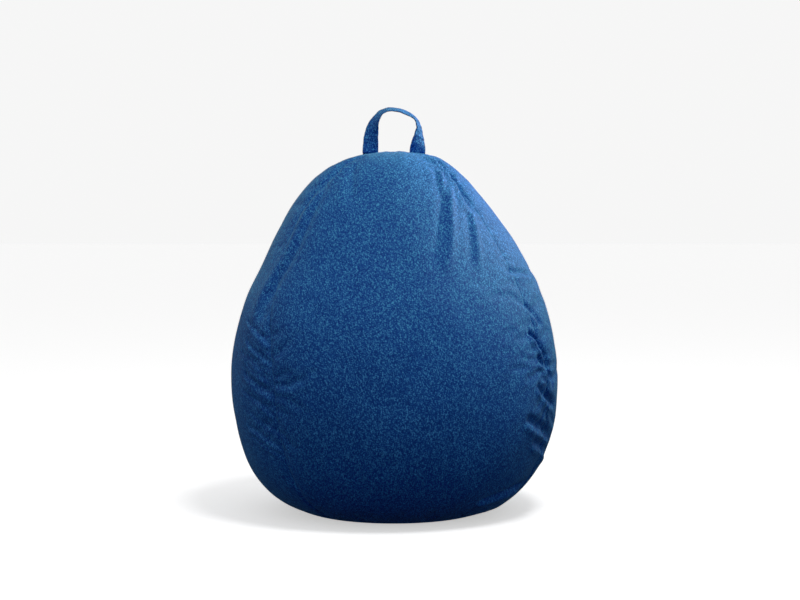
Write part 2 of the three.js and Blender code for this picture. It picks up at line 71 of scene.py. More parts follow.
LEFT_FRONT_SEAM = [-38, -42, -45, -54, -59, -50]
RIGHT_FRONT_SEAM = [72, 71, 64, 58, 54, 58]
BACK_SEAM = 118
CAP_CENTRE = np.array([-20, 50]) * MM
CAP_HALF_SIZES = np.array([175, 84]) * MM
CAP_YAW = math.radians(12)
CAP_SPIN = np.array([[math.cos(CAP_YAW), math.sin(CAP_YAW)], [-math.sin(CAP_YAW), math.cos(CAP_YAW)]])

ZIP_LENGTH = 390 * MM
ZIP_MIDDLE = math.radians(3)
ZIP_SLOT = 6 * MM
ZIP_SLOT_EASE = 12 * MM
SEAM_HALF_GAP = 0.3 * MM
OFF_FLOOR = 0.3 * MM

STRAP_WIDTH = 39 * MM
STRAP_THICKNESS = 3 * MM
STRAP_SPACING = 116 * MM
STRAP_END = 45 * MM
LINER_DEPTH = 8 * MM
FILL_DEPTH = 14 * MM

# ---- Small numeric helpers ----


def lerp(a, b, t):
    return a + (b - a) * t


def smooth(x):
    """Eases from 0 to 1 as x goes from 0 to 1."""
    x = np.clip(x, 0, 1)
    return x * x * (3 - 2 * x)


def bell(distance, reach):
    """1 at no distance, falling off in a bell curve."""
    return np.exp(-(distance / reach) ** 2)


def decay(distance, reach):
    """1 at no distance, falling off fast at first and then slowly."""
    return np.exp(-distance / reach)


def turned(angle, start):
    """Degrees from one angle to another, from -180 to 180."""
    return (angle - start + 180) % 360 - 180


def unit(vectors):
    """The same directions with a length of 1."""
    return vectors / (np.linalg.norm(vectors, axis=-1, keepdims=True) + 1e-12)


def catmull(values, t):
    """A smooth curve through evenly spaced values, t from 0 to 1."""
    values = np.asarray(values, float)
    last = len(values) - 1
    x = np.clip(np.asarray(t, float), 0, 1) * last
    k = np.minimum(x.astype(int), last - 1)
    f = x - k
    if values.ndim > 1:
        f = f[..., None]
    before = values[np.maximum(k - 1, 0)]
    start = values[k]
    end = values[k + 1]
    after = values[np.minimum(k + 2, last)]
    return start + 0.5 * f * (
        end - before + f * (2 * before - 5 * start + 4 * end - after
                            + f * (3 * (start - end) + after - before)))


def hashed(x, y, seed):
    """A repeatable number from 0 to 1 for each whole-number place."""
    h = (x.astype(np.int64) * 374761393 + y.astype(np.int64) * 668265263 + seed * 974711) & 0xFFFFFFFF
    h = ((h ^ (h >> 13)) * 1274126177) & 0xFFFFFFFF
    return ((h ^ (h >> 16)) & 0xFFFFFF) / float(0xFFFFFF)


def noise(x, y, seed=0):
    """Smooth gradient noise in about -1 to 1, with features one unit apart."""
    x, y = np.broadcast_arrays(np.asarray(x, float), np.asarray(y, float))
    x0 = np.floor(x)
    y0 = np.floor(y)
    fx = x - x0
    fy = y - y0

    def corner(dx, dy):
        turn = 2 * np.pi * hashed(x0 + dx, y0 + dy, seed)
        return np.cos(turn) * (fx - dx) + np.sin(turn) * (fy - dy)

    wx = smooth(fx)
    wy = smooth(fy)
    low = lerp(corner(0, 0), corner(1, 0), wx)
    high = lerp(corner(0, 1), corner(1, 1), wx)
    return lerp(low, high, wy) * 1.5


# ---- The bag's shape ----


def make_outline():
    """Points of the half outline as rows of (radius, height), close together, from the base seam up."""
    centre = np.array([WIDEST_RADIUS - SIDE_ARC_RADIUS, WIDEST_HEIGHT])
    start = math.asin((SIDE_ARC_BOTTOM - WIDEST_HEIGHT) / SIDE_ARC_RADIUS)
    end = math.asin((SIDE_ARC_TOP - WIDEST_HEIGHT) / SIDE_ARC_RADIUS)

    def arc(middle, radius, a, b):
        t = np.linspace(a, b, 400)[:, None]
        return middle + radius * np.hstack([np.cos(t), np.sin(t)])

    side = arc(centre, SIDE_ARC_RADIUS, start, end)
    outward = np.array([math.cos(start), math.sin(start)])
    to_seam = np.array([BASE_RADIUS, 0]) - side[0]
    roll_radius = -(to_seam @ to_seam) / (2 * to_seam @ outward)
    roll_centre = side[0] - outward * roll_radius
    roll_start = math.atan2(-roll_centre[1], BASE_RADIUS - roll_centre[0])
    roll = arc(roll_centre, roll_radius, roll_start, start)

    up = np.array([-math.sin(end), math.cos(end)])
    t = np.linspace(0, 1, 600)[:, None]
    crown = ((1 - t) ** 3 * side[-1]
             + 3 * (1 - t) ** 2 * t * (side[-1] + up * SHOULDER_PULL)
             + 3 * (1 - t) * t ** 2 * np.array([CROWN_PULL, BODY_HEIGHT])
             + t ** 3 * np.array([0, BODY_HEIGHT]))
    points = np.vstack([roll, side[1:], crown[1:]])
    lengths = np.concatenate([[0], np.cumsum(np.hypot(*np.diff(points, axis=0).T))])
    return points, lengths, lengths[len(roll) - 1], (start, end)


OUTLINE, LENGTHS, ROLL_LENGTH, (SIDE_START, SIDE_END) = make_outline()
FULL_LENGTH = LENGTHS[-1]
SLOPES = np.gradient(OUTLINE, LENGTHS, axis=0)
SIDE_CENTRE = WIDEST_RADIUS - SIDE_ARC_RADIUS
ZIP_START = ZIP_MIDDLE - ZIP_LENGTH / SIDE_ARC_RADIUS / 2
ZIP_END = ZIP_MIDDLE + ZIP_LENGTH / SIDE_ARC_RADIUS / 2


def outline_at(length):
    """Radius, height and outward direction in the outline's plane, at lengths up the outline."""
    radius = np.interp(length, LENGTHS, OUTLINE[:, 0])
    height = np.interp(length, LENGTHS, OUTLINE[:, 1])
    out_r = np.interp(length, LENGTHS, SLOPES[:, 1])
    out_z = -np.interp(length, LENGTHS, SLOPES[:, 0])
    return radius, height, out_r, out_z


def bag_point(angle, length, depth=0.0):
    """Points on the bag, some depth under its surface."""
    radius, height, out_r, out_z = outline_at(length)
    turn = np.radians(angle)
    radius = radius - out_r * depth
    return np.stack([radius * np.sin(turn), -radius * np.cos(turn), height - out_z * depth], -1)


def bag_normal(angle, length):
    _, _, out_r, out_z = outline_at(length)
    turn = np.radians(angle)
    return np.stack([out_r * np.sin(turn), -out_r * np.cos(turn), out_z], -1)


def length_at_radius(radius):
    """The length up the outline at which the crown has narrowed to this radius."""
    crown = LENGTHS > ROLL_LENGTH + SIDE_ARC_RADIUS * (SIDE_END - SIDE_START)
    return np.interp(-np.asarray(radius), -OUTLINE[crown, 0], LENGTHS[crown])


def crown_height(x, y):
    return outline_at(length_at_radius(np.hypot(x, y)))[1]


def length_at_arc(arc_angle):
    return ROLL_LENGTH + SIDE_ARC_RADIUS * (arc_angle - SIDE_START)


def cap_seam_length(angle):
    """How far up the bag the cap's oval seam lies at this angle."""
    turn = np.radians(angle)
    along = np.stack([np.sin(turn), -np.cos(turn)], -1) @ CAP_SPIN.T / CAP_HALF_SIZES
    centre = CAP_SPIN @ CAP_CENTRE / CAP_HALF_SIZES
    middle = along @ centre
    size = (along ** 2).sum(-1)
    radius = (middle + np.sqrt(middle ** 2 + size * (1 - centre @ centre))) / size
    return length_at_radius(radius)


# ---- The grid of cloth ----
# Columns run up the bag in five panels that share their seams; rows run round it. A finer grid
# for the finished cloth has one more row and column between each pair of the simulated ones.

COLUMN_STEP = 10 * MM
SEAM_STEPS = np.array([0, 2.2, 5.5, 10, 16, 24]) * MM
SEAMS = [
    lambda v: catmull(LEFT_FRONT_SEAM, v),
    lambda v: catmull(RIGHT_FRONT_SEAM, v),
    lambda v: BACK_SEAM + 0 * v,
    lambda v: 180 + 0 * v,
    lambda v: 360 - BACK_SEAM + 0 * v,
    lambda v: 360 + catmull(LEFT_FRONT_SEAM, v),
]
PANELS = ["front_panel", "right_side_panel", "back_right_panel", "back_left_panel", "left_side_panel"]
ZIP_SEAM = 3


def graded(total):
    """Fractions from 0 to 1, close together near both ends and even in between."""
    ends = SEAM_STEPS / total
    count = max(2, int(round((1 - 2 * ends[-1]) * total / COLUMN_STEP)))
    middle = np.linspace(ends[-1], 1 - ends[-1], count + 1)
    return np.concatenate([ends[:-1], middle, (1 - ends[:-1])[::-1]])


def finer(values):
    """The same values with the middle of each neighbouring pair between them."""
    out = np.empty(2 * len(values) - 1)
    out[::2] = values
    out[1::2] = (values[:-1] + values[1:]) / 2
    return out


def panel_columns(k):
    """Places of one panel's columns, spaced for its width where the bag is widest."""
    widest = np.float64(0.4)
    return graded(math.radians(SEAMS[k + 1](widest) - SEAMS[k](widest)) * WIDEST_RADIUS)


COLUMNS = [panel_columns(k) for k in range(5)]
ROWS = graded(float(cap_seam_length(np.float64(0.0))))
CAP_REACH = 0.13
CAP_EDGE = SEAM_STEPS / CAP_REACH
CAP_ROWS = np.concatenate([CAP_EDGE, np.linspace(CAP_EDGE[-1], 0.97, 11)[1:]])


def zip_gap(length):
    """How far an edge stands back from a zip's middle: the slot eases to a seam at both ends."""
    outside = np.maximum(length_at_arc(ZIP_START) - length, length - length_at_arc(ZIP_END))
    return lerp(ZIP_SLOT, SEAM_HALF_GAP, smooth(outside / ZIP_SLOT_EASE))


def seam_gap(seam, length):
    """How far a panel's edge stands back from its seam line."""
    return zip_gap(length) if seam == ZIP_SEAM else SEAM_HALF_GAP + 0 * length


def panel_grid(k, across, up):
    """Angles and lengths of one panel's grid, rows first."""
    v = up[:, None]
    angle = lerp(SEAMS[k](v), SEAMS[k + 1](v), across[None, :])
    return angle, v * cap_seam_length(angle)


# ---- Simulated cloth ----


def ring_grid(up):
    """The welded grid of all five panels, then the cap above them, as angles and lengths."""
    panels = [panel_grid(k, columns[:-1], up) for k, columns in enumerate(COLUMNS)]
    angle, length = (np.hstack(parts) for parts in zip(*panels))
    rim = length[-1]
    cap = rim + (FULL_LENGTH - rim) * CAP_ROWS[1:, None]
    angle = np.vstack([angle, np.repeat(angle[-1:], len(cap), 0)])
    return angle, np.vstack([length, cap])


def ring_faces(rows, columns):
    """Quads of a grid that closes on itself round the bag."""
    j, i = np.meshgrid(np.arange(rows - 1), np.arange(columns), indexing="ij")
    nxt = (i + 1) % columns
    quads = [j * columns + i, j * columns + nxt, (j + 1) * columns + nxt, (j + 1) * columns + i]
    return np.stack(quads, -1).reshape(-1, 4)


def fan(first, count, tip, flip=False):
    """Triangles from a ring of points, numbered on from the first, to one tip."""
    pairs = [(first + i, first + (i + 1) % count) for i in range(count)]
    return [[b, a, tip] if flip else [a, b, tip] for a, b in pairs]


def put_in_scene(name, data):
    made = bpy.data.objects.new(name, data)
    bpy.context.scene.collection.objects.link(made)
    return made


def make_mesh(name, points, faces, uv=None):
    mesh = bpy.data.meshes.new(name)
    mesh.from_pydata([tuple(p) for p in points], [], [tuple(int(n) for n in f) for f in faces])
    if uv is not None:
        layer = mesh.uv_layers.new(name="cloth")
        corners = np.empty(len(mesh.loops), np.int64)
        mesh.loops.foreach_get("vertex_index", corners)
        layer.data.foreach_set("uv", np.asarray(uv, np.float32)[corners].ravel())
    mesh.polygons.foreach_set("use_smooth", [True] * len(mesh.polygons))
    mesh.validate()
    mesh.update()
    return put_in_scene(name, mesh)


def blurred(field, reach):
    """The field averaged over a stretch of rows and columns, twice over."""
    for _ in range(2):
        padded = np.concatenate([field[:1].repeat(reach, 0), field, field[-1:].repeat(reach, 0)])
        sums = np.cumsum(np.concatenate([np.zeros_like(padded[:1]), padded]), axis=0)
        width = 2 * reach + 1
        field = (sums[width:] - sums[:-width]) / width
        field = sum(np.roll(field, s, axis=1) for s in range(-reach, reach + 1)) / width
    return field


CLOTH_FRAMES = 26
# The furthest that a point may move.
CLOTH_REACH = 15 * MM
CLOTH_SETTINGS = dict(
    quality=5,
    mass=0.25,
    air_damping=2,
    tension_stiffness=22,
    compression_stiffness=16,
    shear_stiffness=6,
    bending_stiffness=0.35,
    use_pressure=True,
    uniform_pressure_force=3.2,
    vertex_group_mass="pin",
    vertex_group_shrink="pull",
    shrink_min=-0.012,
    shrink_max=0.075,
)
# How much of the settled movement is kept, and how much of its broad swelling is taken out first.
MOVE_KEPT = 0.8
SWELLING_OUT = 0.9
SWELLING_REACH = 7


def simulate():
    """How each point of the welded grid moves when the stuffed cover settles under its seams' pull."""
    angle, length = ring_grid(ROWS)
    rest = bag_point(angle, length)
    rows, columns = angle.shape
    apex = rows * columns
    base = rest[0] * [0.5, 0.5, 0]
    points = np.vstack([rest.reshape(-1, 3), [[0, 0, BODY_HEIGHT]], base, [[0, 0, 0]]])
    faces = [list(f) for f in ring_faces(rows, columns)]
    top = (rows - 1) * columns
    for i in range(columns):
        nxt = (i + 1) % columns
        faces.append([top + i, top + nxt, apex])
        faces.append([apex + 1 + i, apex + 1 + nxt, nxt, i])
        faces.append([len(points) - 1, apex + 1 + nxt, apex + 1 + i])
    cloth = make_mesh("cloth_run", points, faces)

    seam = seam_pull(angle, length)
    free = free_to_move(angle, length)
    held = (free < 0.02).astype(float)
    groups = {"pull": np.append(seam.ravel(), np.zeros(columns + 2)),
              "pin": np.append(held.ravel(), np.ones(columns + 2))}
    for name, weights in groups.items():
        group = cloth.vertex_groups.new(name=name)
        for step in range(1, 11):
            members = np.nonzero(np.round(weights * 10) == step)[0]
            group.add([int(n) for n in members], step / 10, "REPLACE")

    settings = cloth.modifiers.new("cloth", "CLOTH").settings
    for name, value in CLOTH_SETTINGS.items():
        setattr(settings, name, value)
    settings.effector_weights.gravity = 0
    scene = bpy.context.scene
    for number in range(1, CLOTH_FRAMES + 1):
        scene.frame_set(number)
    moved = cloth.evaluated_get(bpy.context.evaluated_depsgraph_get())
    settled = np.empty(len(points) * 3)
    moved.data.vertices.foreach_get("co", settled)
    settled = settled.reshape(-1, 3)[:apex].reshape(rows, columns, 3)
    bpy.data.objects.remove(cloth)
    scene.frame_set(1)

    move = settled - rest
    move = MOVE_KEPT * (move - SWELLING_OUT * blurred(move, SWELLING_REACH))
    size = np.linalg.norm(move, axis=-1, keepdims=True) + 1e-9
    return free[..., None] * move * CLOTH_REACH * np.tanh(size / CLOTH_REACH) / size


# How strongly the thread gathers each seam: an even share, then places along the seam where it
# is gathered more, as (length up the bag, reach, share).
GATHERS = [
    (0.16, [(0.40, 0.12, 0.45), (0.97, 0.07, 0.35)]),
    (0.20, [(0.45, 0.12, 0.80), (0.97, 0.07, 0.40)]),
    (0.35, [(0.55, 0.25, 0.25)]),
    (0.08, []),
    (0.35, [(0.50, 0.25, 0.25)]),
]


def gathered(seam, length):
    even, places = GATHERS[seam]
    return even + sum(share * bell(length - middle, reach) for middle, reach, share in places)


def seam_pull(angle, length):
    """How strongly the sewing thread gathers the cloth at each point of the welded grid."""
    radius = outline_at(length)[0]
    up = np.minimum(length / cap_seam_length(angle), 1)
    uneven = 0.75 + 0.5 * noise(length / 0.09, angle / 25, 5)
    pull = np.zeros_like(length)
    for k in range(5):
        away = np.radians(np.abs(turned(angle, SEAMS[k](up)))) * radius
        pull = np.maximum(pull, gathered(k, length) * uneven * bell(away, 7 * MM))
    from_cap = np.abs(length - cap_seam_length(angle))
    return np.clip(np.maximum(pull, 0.3 * bell(from_cap, 6 * MM)), 0, 1)


# The cloth keeps its plain shape up to these distances from the floor, from the zip, and from the
# middle of the strap's two ends, and then eases into its folds.
FLOOR_FLAT = 8 * MM
FLOOR_EASE = 45 * MM
ZIP_FLAT = 24 * MM
ZIP_EASE = 50 * MM
STRAP_FLAT = np.array([80, 32]) * MM
STRAP_EASE = 30 * MM
STRAP_ENDS_Y = 22 * MM


def past(value, limit):
    """How far a value is beyond a limit, on either side of 0."""
    return np.maximum(np.abs(value) - limit, 0)


def free_to_move(angle, length):
    """0 where the cloth keeps its plain shape, easing to 1."""
    radius = outline_at(length)[0]
    turn = np.radians(angle)
    off_floor = smooth((length - FLOOR_FLAT) / FLOOR_EASE)
    across = past(np.radians(angle % 360 - 180) * radius, ZIP_FLAT)
    low = length_at_arc(ZIP_START) - ZIP_FLAT
    high = length_at_arc(ZIP_END) + ZIP_FLAT
    along = np.maximum(np.maximum(low - length, length - high), 0)
    off_zip = smooth(np.hypot(across, along) / ZIP_EASE)
    beside = past(radius * np.sin(turn), STRAP_FLAT[0])
    behind = past(-radius * np.cos(turn) - STRAP_ENDS_Y, STRAP_FLAT[1])
    low_down = np.where(length < 0.5 * FULL_LENGTH, 1.0, 0.0)
    off_strap = np.maximum(smooth(np.hypot(beside, behind) / STRAP_EASE), low_down)
    return off_floor * off_zip * off_strap


# ---- Folds and puckers laid over the simulated cloth ----

# Each fold: its line as (angle, length up the bag), its half width in mm, its depth as a share of
# FOLD_DEPTH, and its side. A positive side raises a ridge beside the valley, towards the right of
# the line as it is read. A negative depth is a ridge with a valley beside it.
FOLDS = [
    # Drag lines from the right end of the cap seam.
    ([(58, 1.050), (54, 0.980), (51, 0.912), (49, 0.835)], 11, 8.0, 1),
    ([(42, 0.985), (35, 0.930), (31, 0.880)], 8, -3.4, 1),
    ([(41, 0.935), (32, 0.850), (27, 0.770), (20, 0.670)], 12, -5.4, 1),
    ([(47, 0.850), (42, 0.780), (36, 0.680)], 10, -4.0, 1),
    # Beside the left end of the cap seam.
    ([(-40, 1.000), (-30, 0.930), (-25, 0.860)], 12, 3.4, 1),
    ([(-52, 1.000), (-54, 0.930), (-58, 0.840)], 12, 4.4, -1),
    # The long hollow beside the left front seam.
    ([(-50, 0.974), (-48, 0.850), (-49, 0.740), (-55, 0.620), (-55, 0.515)], 16, 4.6, 1),
    # Short creases off the right front seam.
    ([(52, 0.688), (64, 0.680), (76, 0.670)], 7, 4.4, 1),
    ([(58, 0.605), (64, 0.575), (67, 0.535)], 8, 4.2, 1),
    ([(55, 0.545), (62, 0.505), (67, 0.462), (70, 0.420)], 10, 7.6, 1),
    ([(58, 0.480), (66, 0.440), (73, 0.395)], 9, 6.0, 1),
    ([(56, 0.410), (66, 0.372), (78, 0.340)], 9, 5.4, 1),
    ([(50, 0.335), (64, 0.300), (82, 0.258)], 12, 6.4, 1),
    ([(57, 0.275), (70, 0.250), (86, 0.220)], 11, 5.4, 1),
    ([(38, 0.112), (53, 0.135), (70, 0.156)], 10, 6.0, 1),
    # Behind, where nothing shows them: a few slack lines off the seams.
    ([(124, 0.950), (131, 0.860), (140, 0.760)], 11, 4.0, 1),
    ([(236, 0.930), (228, 0.850), (221, 0.770)], 10, 3.6, -1),
    ([(112, 0.420), (104, 0.380), (96, 0.350)], 9, 3.6, 1),
    ([(246, 0.400), (254, 0.360), (263, 0.340)], 9, 3.4, -1),
    ([(125, 0.260), (136, 0.230), (148, 0.215)], 10, 3.4, 1),
    ([(232, 0.270), (222, 0.240), (210, 0.220)], 10, 3.4, -1),
]


def left_seam_crease(k):
    """One of the short creases across the left front seam, counted downwards. It falls to the right."""
    top = 0.560 - 0.034 * k + 0.012 * math.sin(5.1 * k)
    shift = 0.9 * k
    sway = 3 * math.sin(2.3 * k)
    line = [(-67 + sway + shift, top), (-57 + shift, top - 0.024), (-45 + sway + shift, top - 0.056)]
    return line, 5.5 + 1.5 * math.sin(3.7 * k), 2.0 + 0.7 * math.sin(1.9 * k), 1


FOLDS += [left_seam_crease(k) for k in range(9)]
FOLD_DEPTH = 1.5 * MM


def fold_field(angle, length):
    """Height of all the folds over the smooth bag, in metres."""
    radius = outline_at(length)[0]
    total = np.zeros_like(length)
    for line, half_width, depth, side in FOLDS:
        points = np.array(line, float)
        count = 24 * (len(points) - 1) + 1
        dense = catmull(points, np.linspace(0, 1, count))
        best = np.full(length.shape, 9.0)
        place = np.zeros_like(length)
        signed = np.zeros_like(length)
        for n in range(count):
            dx = np.radians(turned(angle, dense[n, 0])) * radius
            dy = length - dense[n, 1]
            distance = np.hypot(dx, dy)
            ahead = dense[min(n + 1, count - 1)] - dense[max(n - 1, 0)]
            run = unit(np.array([math.radians(ahead[0]) * outline_at(dense[n, 1])[0], ahead[1]]))
            nearer = distance < best
            best = np.where(nearer, distance, best)
            place = np.where(nearer, n / (count - 1), place)
            signed = np.where(nearer, np.sign(dx * run[1] - dy * run[0]), signed)
        width = half_width * MM * (0.8 + 0.5 * place)
        across = best * signed / width
        ends = smooth(place / 0.18) * smooth((1 - place) / 0.3)
        valley = -bell(across, 1)
        ridge = 0.55 * bell(across - 1.75 * side, 1.15)
        total += FOLD_DEPTH * depth * ends * (valley + ridge)
    return total


# Gathers off each seam, coarse and fine: height, spacing along the seam, run off it, and reach.
PUCKERS = [(1.5 * MM, 26 * MM, 90 * MM, 34 * MM), (0.9 * MM, 11 * MM, 45 * MM, 13 * MM)]


def pucker_field(angle, length, up):
    """Small gathers that run off each seam, and die away from it."""
    total = np.zeros_like(length)
    radius = outline_at(length)[0]
    for k in range(5):
        signed = np.radians(turned(angle, SEAMS[k](np.minimum(up, 1)))) * radius
        distance = np.abs(signed)
        strength = gathered(k, length) * (2.0 + 1.2 * noise(length / 0.11, k * 7.3, 11 + k))
        skew = length + 0.45 * signed * (1 if k else -1) + 0.006 * noise(length / 0.03, signed / 0.02, 3)
        for n, (height, spacing, run, reach) in enumerate(PUCKERS):
            gather = noise(skew / spacing, signed / run, 21 + 10 * n + k)
            total += strength * height * gather * decay(distance, reach)
    return total


def slack_field(angle, length):
    """Broad, shallow unevenness of the loose filling under the cloth."""
    turn = np.radians(angle)
    broad = noise(np.sin(turn) * 2.3 + 4.1, length / 0.17 + np.cos(turn) * 2.1, 41)
    small = noise(np.sin(turn) * 7.1 + 1.7, length / 0.06 + np.cos(turn) * 6.3, 42)
    return 2.2 * MM * broad + 0.7 * MM * small


# Where the filling has slumped away from the even shape, or towards the outside:
# (angle, length up the bag, reach in degrees, reach in metres, height in mm).
SLUMPS = [
    (92, 0.930, 42, 0.085, -9.5),
    (88, 0.840, 42, 0.070, -5.5),
    (-88, 0.900, 40, 0.100, 7.0),
    (-90, 1.040, 40, 0.050, 3.0),
    (-90, 0.690, 40, 0.060, -4.0),
    (88, 0.330, 45, 0.130, 5.0),
]


def slump_field(angle, length):
    return sum(lift * MM * bell(turned(angle, middle), wide) * bell(length - height, tall)
               for middle, height, wide, tall, lift in SLUMPS)


def seam_sink(distance):
    """How far the cloth dips where it turns into a seam."""
    return -0.9 * MM * bell(distance, 2.2 * MM) - 0.8 * MM * bell(distance, 12 * MM)


def upsample(field):
    """The simulated field on the finer grid, by smooth interpolation along rows and then columns."""
    def along_first(values):
        out = np.empty((2 * len(values) - 1,) + values.shape[1:])
        out[::2] = values
        padded = np.concatenate([values[:1], values, values[-1:]])
        out[1::2] = (9 * (padded[1:-2] + padded[2:-1]) - padded[:-3] - padded[3:]) / 16
        return out
    return along_first(along_first(field).swapaxes(0, 1)).swapaxes(0, 1)


# ---- Cloth pieces ----

TURNED_IN = np.array([1.3, 2.5]) * MM
CLOTH_THICKNESS = 1.2 * MM
LINER_THICKNESS = 0.6 * MM
EDGE_EASE = 20 * MM


def turn_in(points, normals):
    """Adds rows and columns that turn the cloth's four edges inwards, as into a seam."""
    turns = len(TURNED_IN)
    rows = np.arange(-turns, points.shape[0] + turns)
    columns = np.arange(-turns, points.shape[1] + turns)
    outside_rows = np.maximum(-rows, rows - points.shape[0] + 1).clip(0)
    outside_columns = np.maximum(-columns, columns - points.shape[1] + 1).clip(0)
    ring = np.maximum(outside_rows[:, None], outside_columns[None, :])
    depth = np.append(0, TURNED_IN)[ring]
    i = rows.clip(0, points.shape[0] - 1)[:, None]
    j = columns.clip(0, points.shape[1] - 1)[None, :]
    return points[i, j] - normals[i, j] * depth[..., None], (i, j)


def grid_faces(rows, columns):
    j, i = np.meshgrid(np.arange(rows - 1), np.arange(columns - 1), indexing="ij")
    start = j * columns + i
    return np.stack([start, start + 1, start + columns + 1, start + columns], -1).reshape(-1, 4)


def weld(piece, face_outwards=False):
    """Joins points that lie on each other, and drops faces with no area."""
    mesh = bmesh.new()
    mesh.from_mesh(piece.data)
    bmesh.ops.remove_doubles(mesh, verts=mesh.verts, dist=1e-6)
    bmesh.ops.dissolve_degenerate(mesh, edges=mesh.edges, dist=1e-7)
    if face_outwards:
        bmesh.ops.recalc_face_normals(mesh, faces=mesh.faces)
    mesh.to_mesh(piece.data)
    mesh.free()
    piece.data.polygons.foreach_set("use_smooth", [True] * len(piece.data.polygons))


def thicken(piece, thickness):
    """Gives a sheet its thickness, inwards."""
    solid = piece.modifiers.new("thickness", "SOLIDIFY")
    solid.thickness = thickness
    solid.offset = -1
    solid.use_even_offset = False
    apply_modifiers(piece)


def apply_modifiers(piece):
    made = bpy.data.meshes.new_from_object(piece.evaluated_get(bpy.context.evaluated_depsgraph_get()))
    piece.modifiers.clear()
    old = piece.data
    piece.data = made
    bpy.data.meshes.remove(old)
    made.name = piece.name


def grid_piece(name, points, uv):
    rows, columns = points.shape[:2]
    piece = make_mesh(name, points.reshape(-1, 3), grid_faces(rows, columns), uv.reshape(-1, 2))
    weld(piece)
    return piece


def surface_height(angle, length, up, seam_gap_away):
    """Height of the folds, gathers, slack and seams over the plain bag."""
    free = free_to_move(angle, length)
    height = fold_field(angle, length) + pucker_field(angle, length, up) + slack_field(angle, length)
    return free * (height + slump_field(angle, length) + seam_sink(seam_gap_away))


MOVE = simulate()
STARTS = np.concatenate([[0], np.cumsum([len(c) - 1 for c in COLUMNS])])


def panel_move(k):
    """The simulated movement of one panel's part of the welded grid, on the finer grid."""
    columns = np.arange(STARTS[k], STARTS[k + 1] + 1) % MOVE.shape[1]
    return upsample(MOVE[:len(ROWS)][:, columns])


def panel_surface(k):
    """One panel's cloth as a grid of points, outward directions and cloth coordinates."""
    across = finer(COLUMNS[k])
    up = finer(ROWS)
    angle, length = panel_grid(k, across, up)
    radius = outline_at(length)[0]
    from_left = np.radians(angle - angle[:, :1]) * radius
    from_right = np.radians(angle[:, -1:] - angle) * radius
    from_top = length[-1:] - length
    beside_seam = np.minimum(np.minimum(from_left, from_right), np.minimum(from_top, length))
    height = surface_height(angle, length, up[:, None] + 0 * angle, beside_seam)

    left_gap = np.degrees(seam_gap(k, length) / radius) * decay(from_left, EDGE_EASE)
    right_gap = np.degrees(seam_gap((k + 1) % 5, length) / radius) * decay(from_right, EDGE_EASE)
    top_gap = SEAM_HALF_GAP * decay(from_top, EDGE_EASE)
    shifted = angle + left_gap - right_gap
    points = bag_point(shifted, length - top_gap) + panel_move(k)
    normals = bag_normal(shifted, length)
    points = points + normals * height[..., None]
    points[..., 2] = np.maximum(points[..., 2], OFF_FLOOR)
    middle = (angle[:, :1] + angle[:, -1:]) / 2
    cloth = np.stack([np.radians(angle - middle) * radius, length], -1)
    return points, normals, cloth


def grid_normals(points):
    """Outward directions of a grid whose columns run left to right and whose rows run up."""
    return unit(np.cross(np.gradient(points, axis=1), np.gradient(points, axis=0)))


PANEL_GRIDS = [panel_surface(k) for k in range(5)]


def panel_rim(layer, row):
    """One row right round all five panels, at the simulated columns: of points (0) or directions (1)."""
    return np.vstack([PANEL_GRIDS[k][layer][row, :-1] for k in range(5)])[::2]


def make_panels():
    made = []
    for k, name in enumerate(PANELS):
        points, _, cloth = PANEL_GRIDS[k]
        normals = grid_normals(points)
        hemmed, places = turn_in(points, normals)
        cloth = cloth + [0.37 * k, 0.21 * k]
        piece = grid_piece(name + "_cloth", hemmed, cloth[places])
        thicken(piece, CLOTH_THICKNESS)
        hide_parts(name)
        made.append(piece)
    return made


def crown_disc(rim, middle, rows, height_at):
    """Rings of points from a rim in to a middle point, with a height for each place and share."""
    share = rows[:, None, None]
    flat = rim[None, :, :2] * (1 - share) + middle * share
    return np.dstack([flat, height_at(flat[..., 0], flat[..., 1], rows[:, None])])


def disc_piece(name, rings, middle_point, middle_uv, uv, flip=False):
    """A closed set of rings joined to one middle point."""
    rows, columns = rings.shape[:2]
    faces = [list(f) for f in ring_faces(rows, columns)]
    faces += fan((rows - 1) * columns, columns, rows * columns)
    if flip:
        faces = [f[::-1] for f in faces]
    points = np.vstack([rings.reshape(-1, 3), middle_point])
    piece = make_mesh(name, points, faces, np.vstack([uv.reshape(-1, 2), middle_uv]))
    weld(piece)
    return piece


CAP_LIFT = 0.2 * MM


def make_cap():
    rim = panel_rim(0, -1)
    rise = rim[:, 2] - crown_height(rim[:, 0], rim[:, 1])
    steps = np.concatenate([[0, 0.012, 0.028, 0.05, 0.08, 0.12], np.linspace(0.17, 0.98, 15)])

    def height_at(x, y, share):
        inward = share * CAP_HALF_SIZES[1]
        plain = crown_height(x, y) + CAP_LIFT
        gathers = 0.8 * MM * noise(x / (30 * MM), y / (24 * MM), 61)
        between = smooth(share / 0.2) * smooth((0.7 - share) / 0.3)
        sink = seam_sink(inward) - seam_sink(0 * inward)
        return plain + gathers * between + (rise - sink) * decay(inward, 9 * MM)

    rings = crown_disc(rim, CAP_CENTRE, steps, height_at)
    inner = panel_rim(1, -1)[None] * np.array([2.6, 1.3])[:, None, None] * MM
    toward = unit(CAP_CENTRE - rim[:, :2])
    rings[:, :, :2] += 2 * SEAM_HALF_GAP * toward[None] * np.exp(-steps * 8)[:, None, None]
    rings = np.vstack([rings[:1] - inner, rings])
    uv = rings[..., :2] @ CAP_SPIN.T + 1.7
    top = np.array([[*CAP_CENTRE, float(crown_height(*CAP_CENTRE)) + CAP_LIFT]])
    piece = disc_piece("top_cap_cloth", rings, top, CAP_CENTRE @ CAP_SPIN.T + 1.7, uv)
    thicken(piece, CLOTH_THICKNESS)
    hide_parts("top_cap_panel")
    return piece


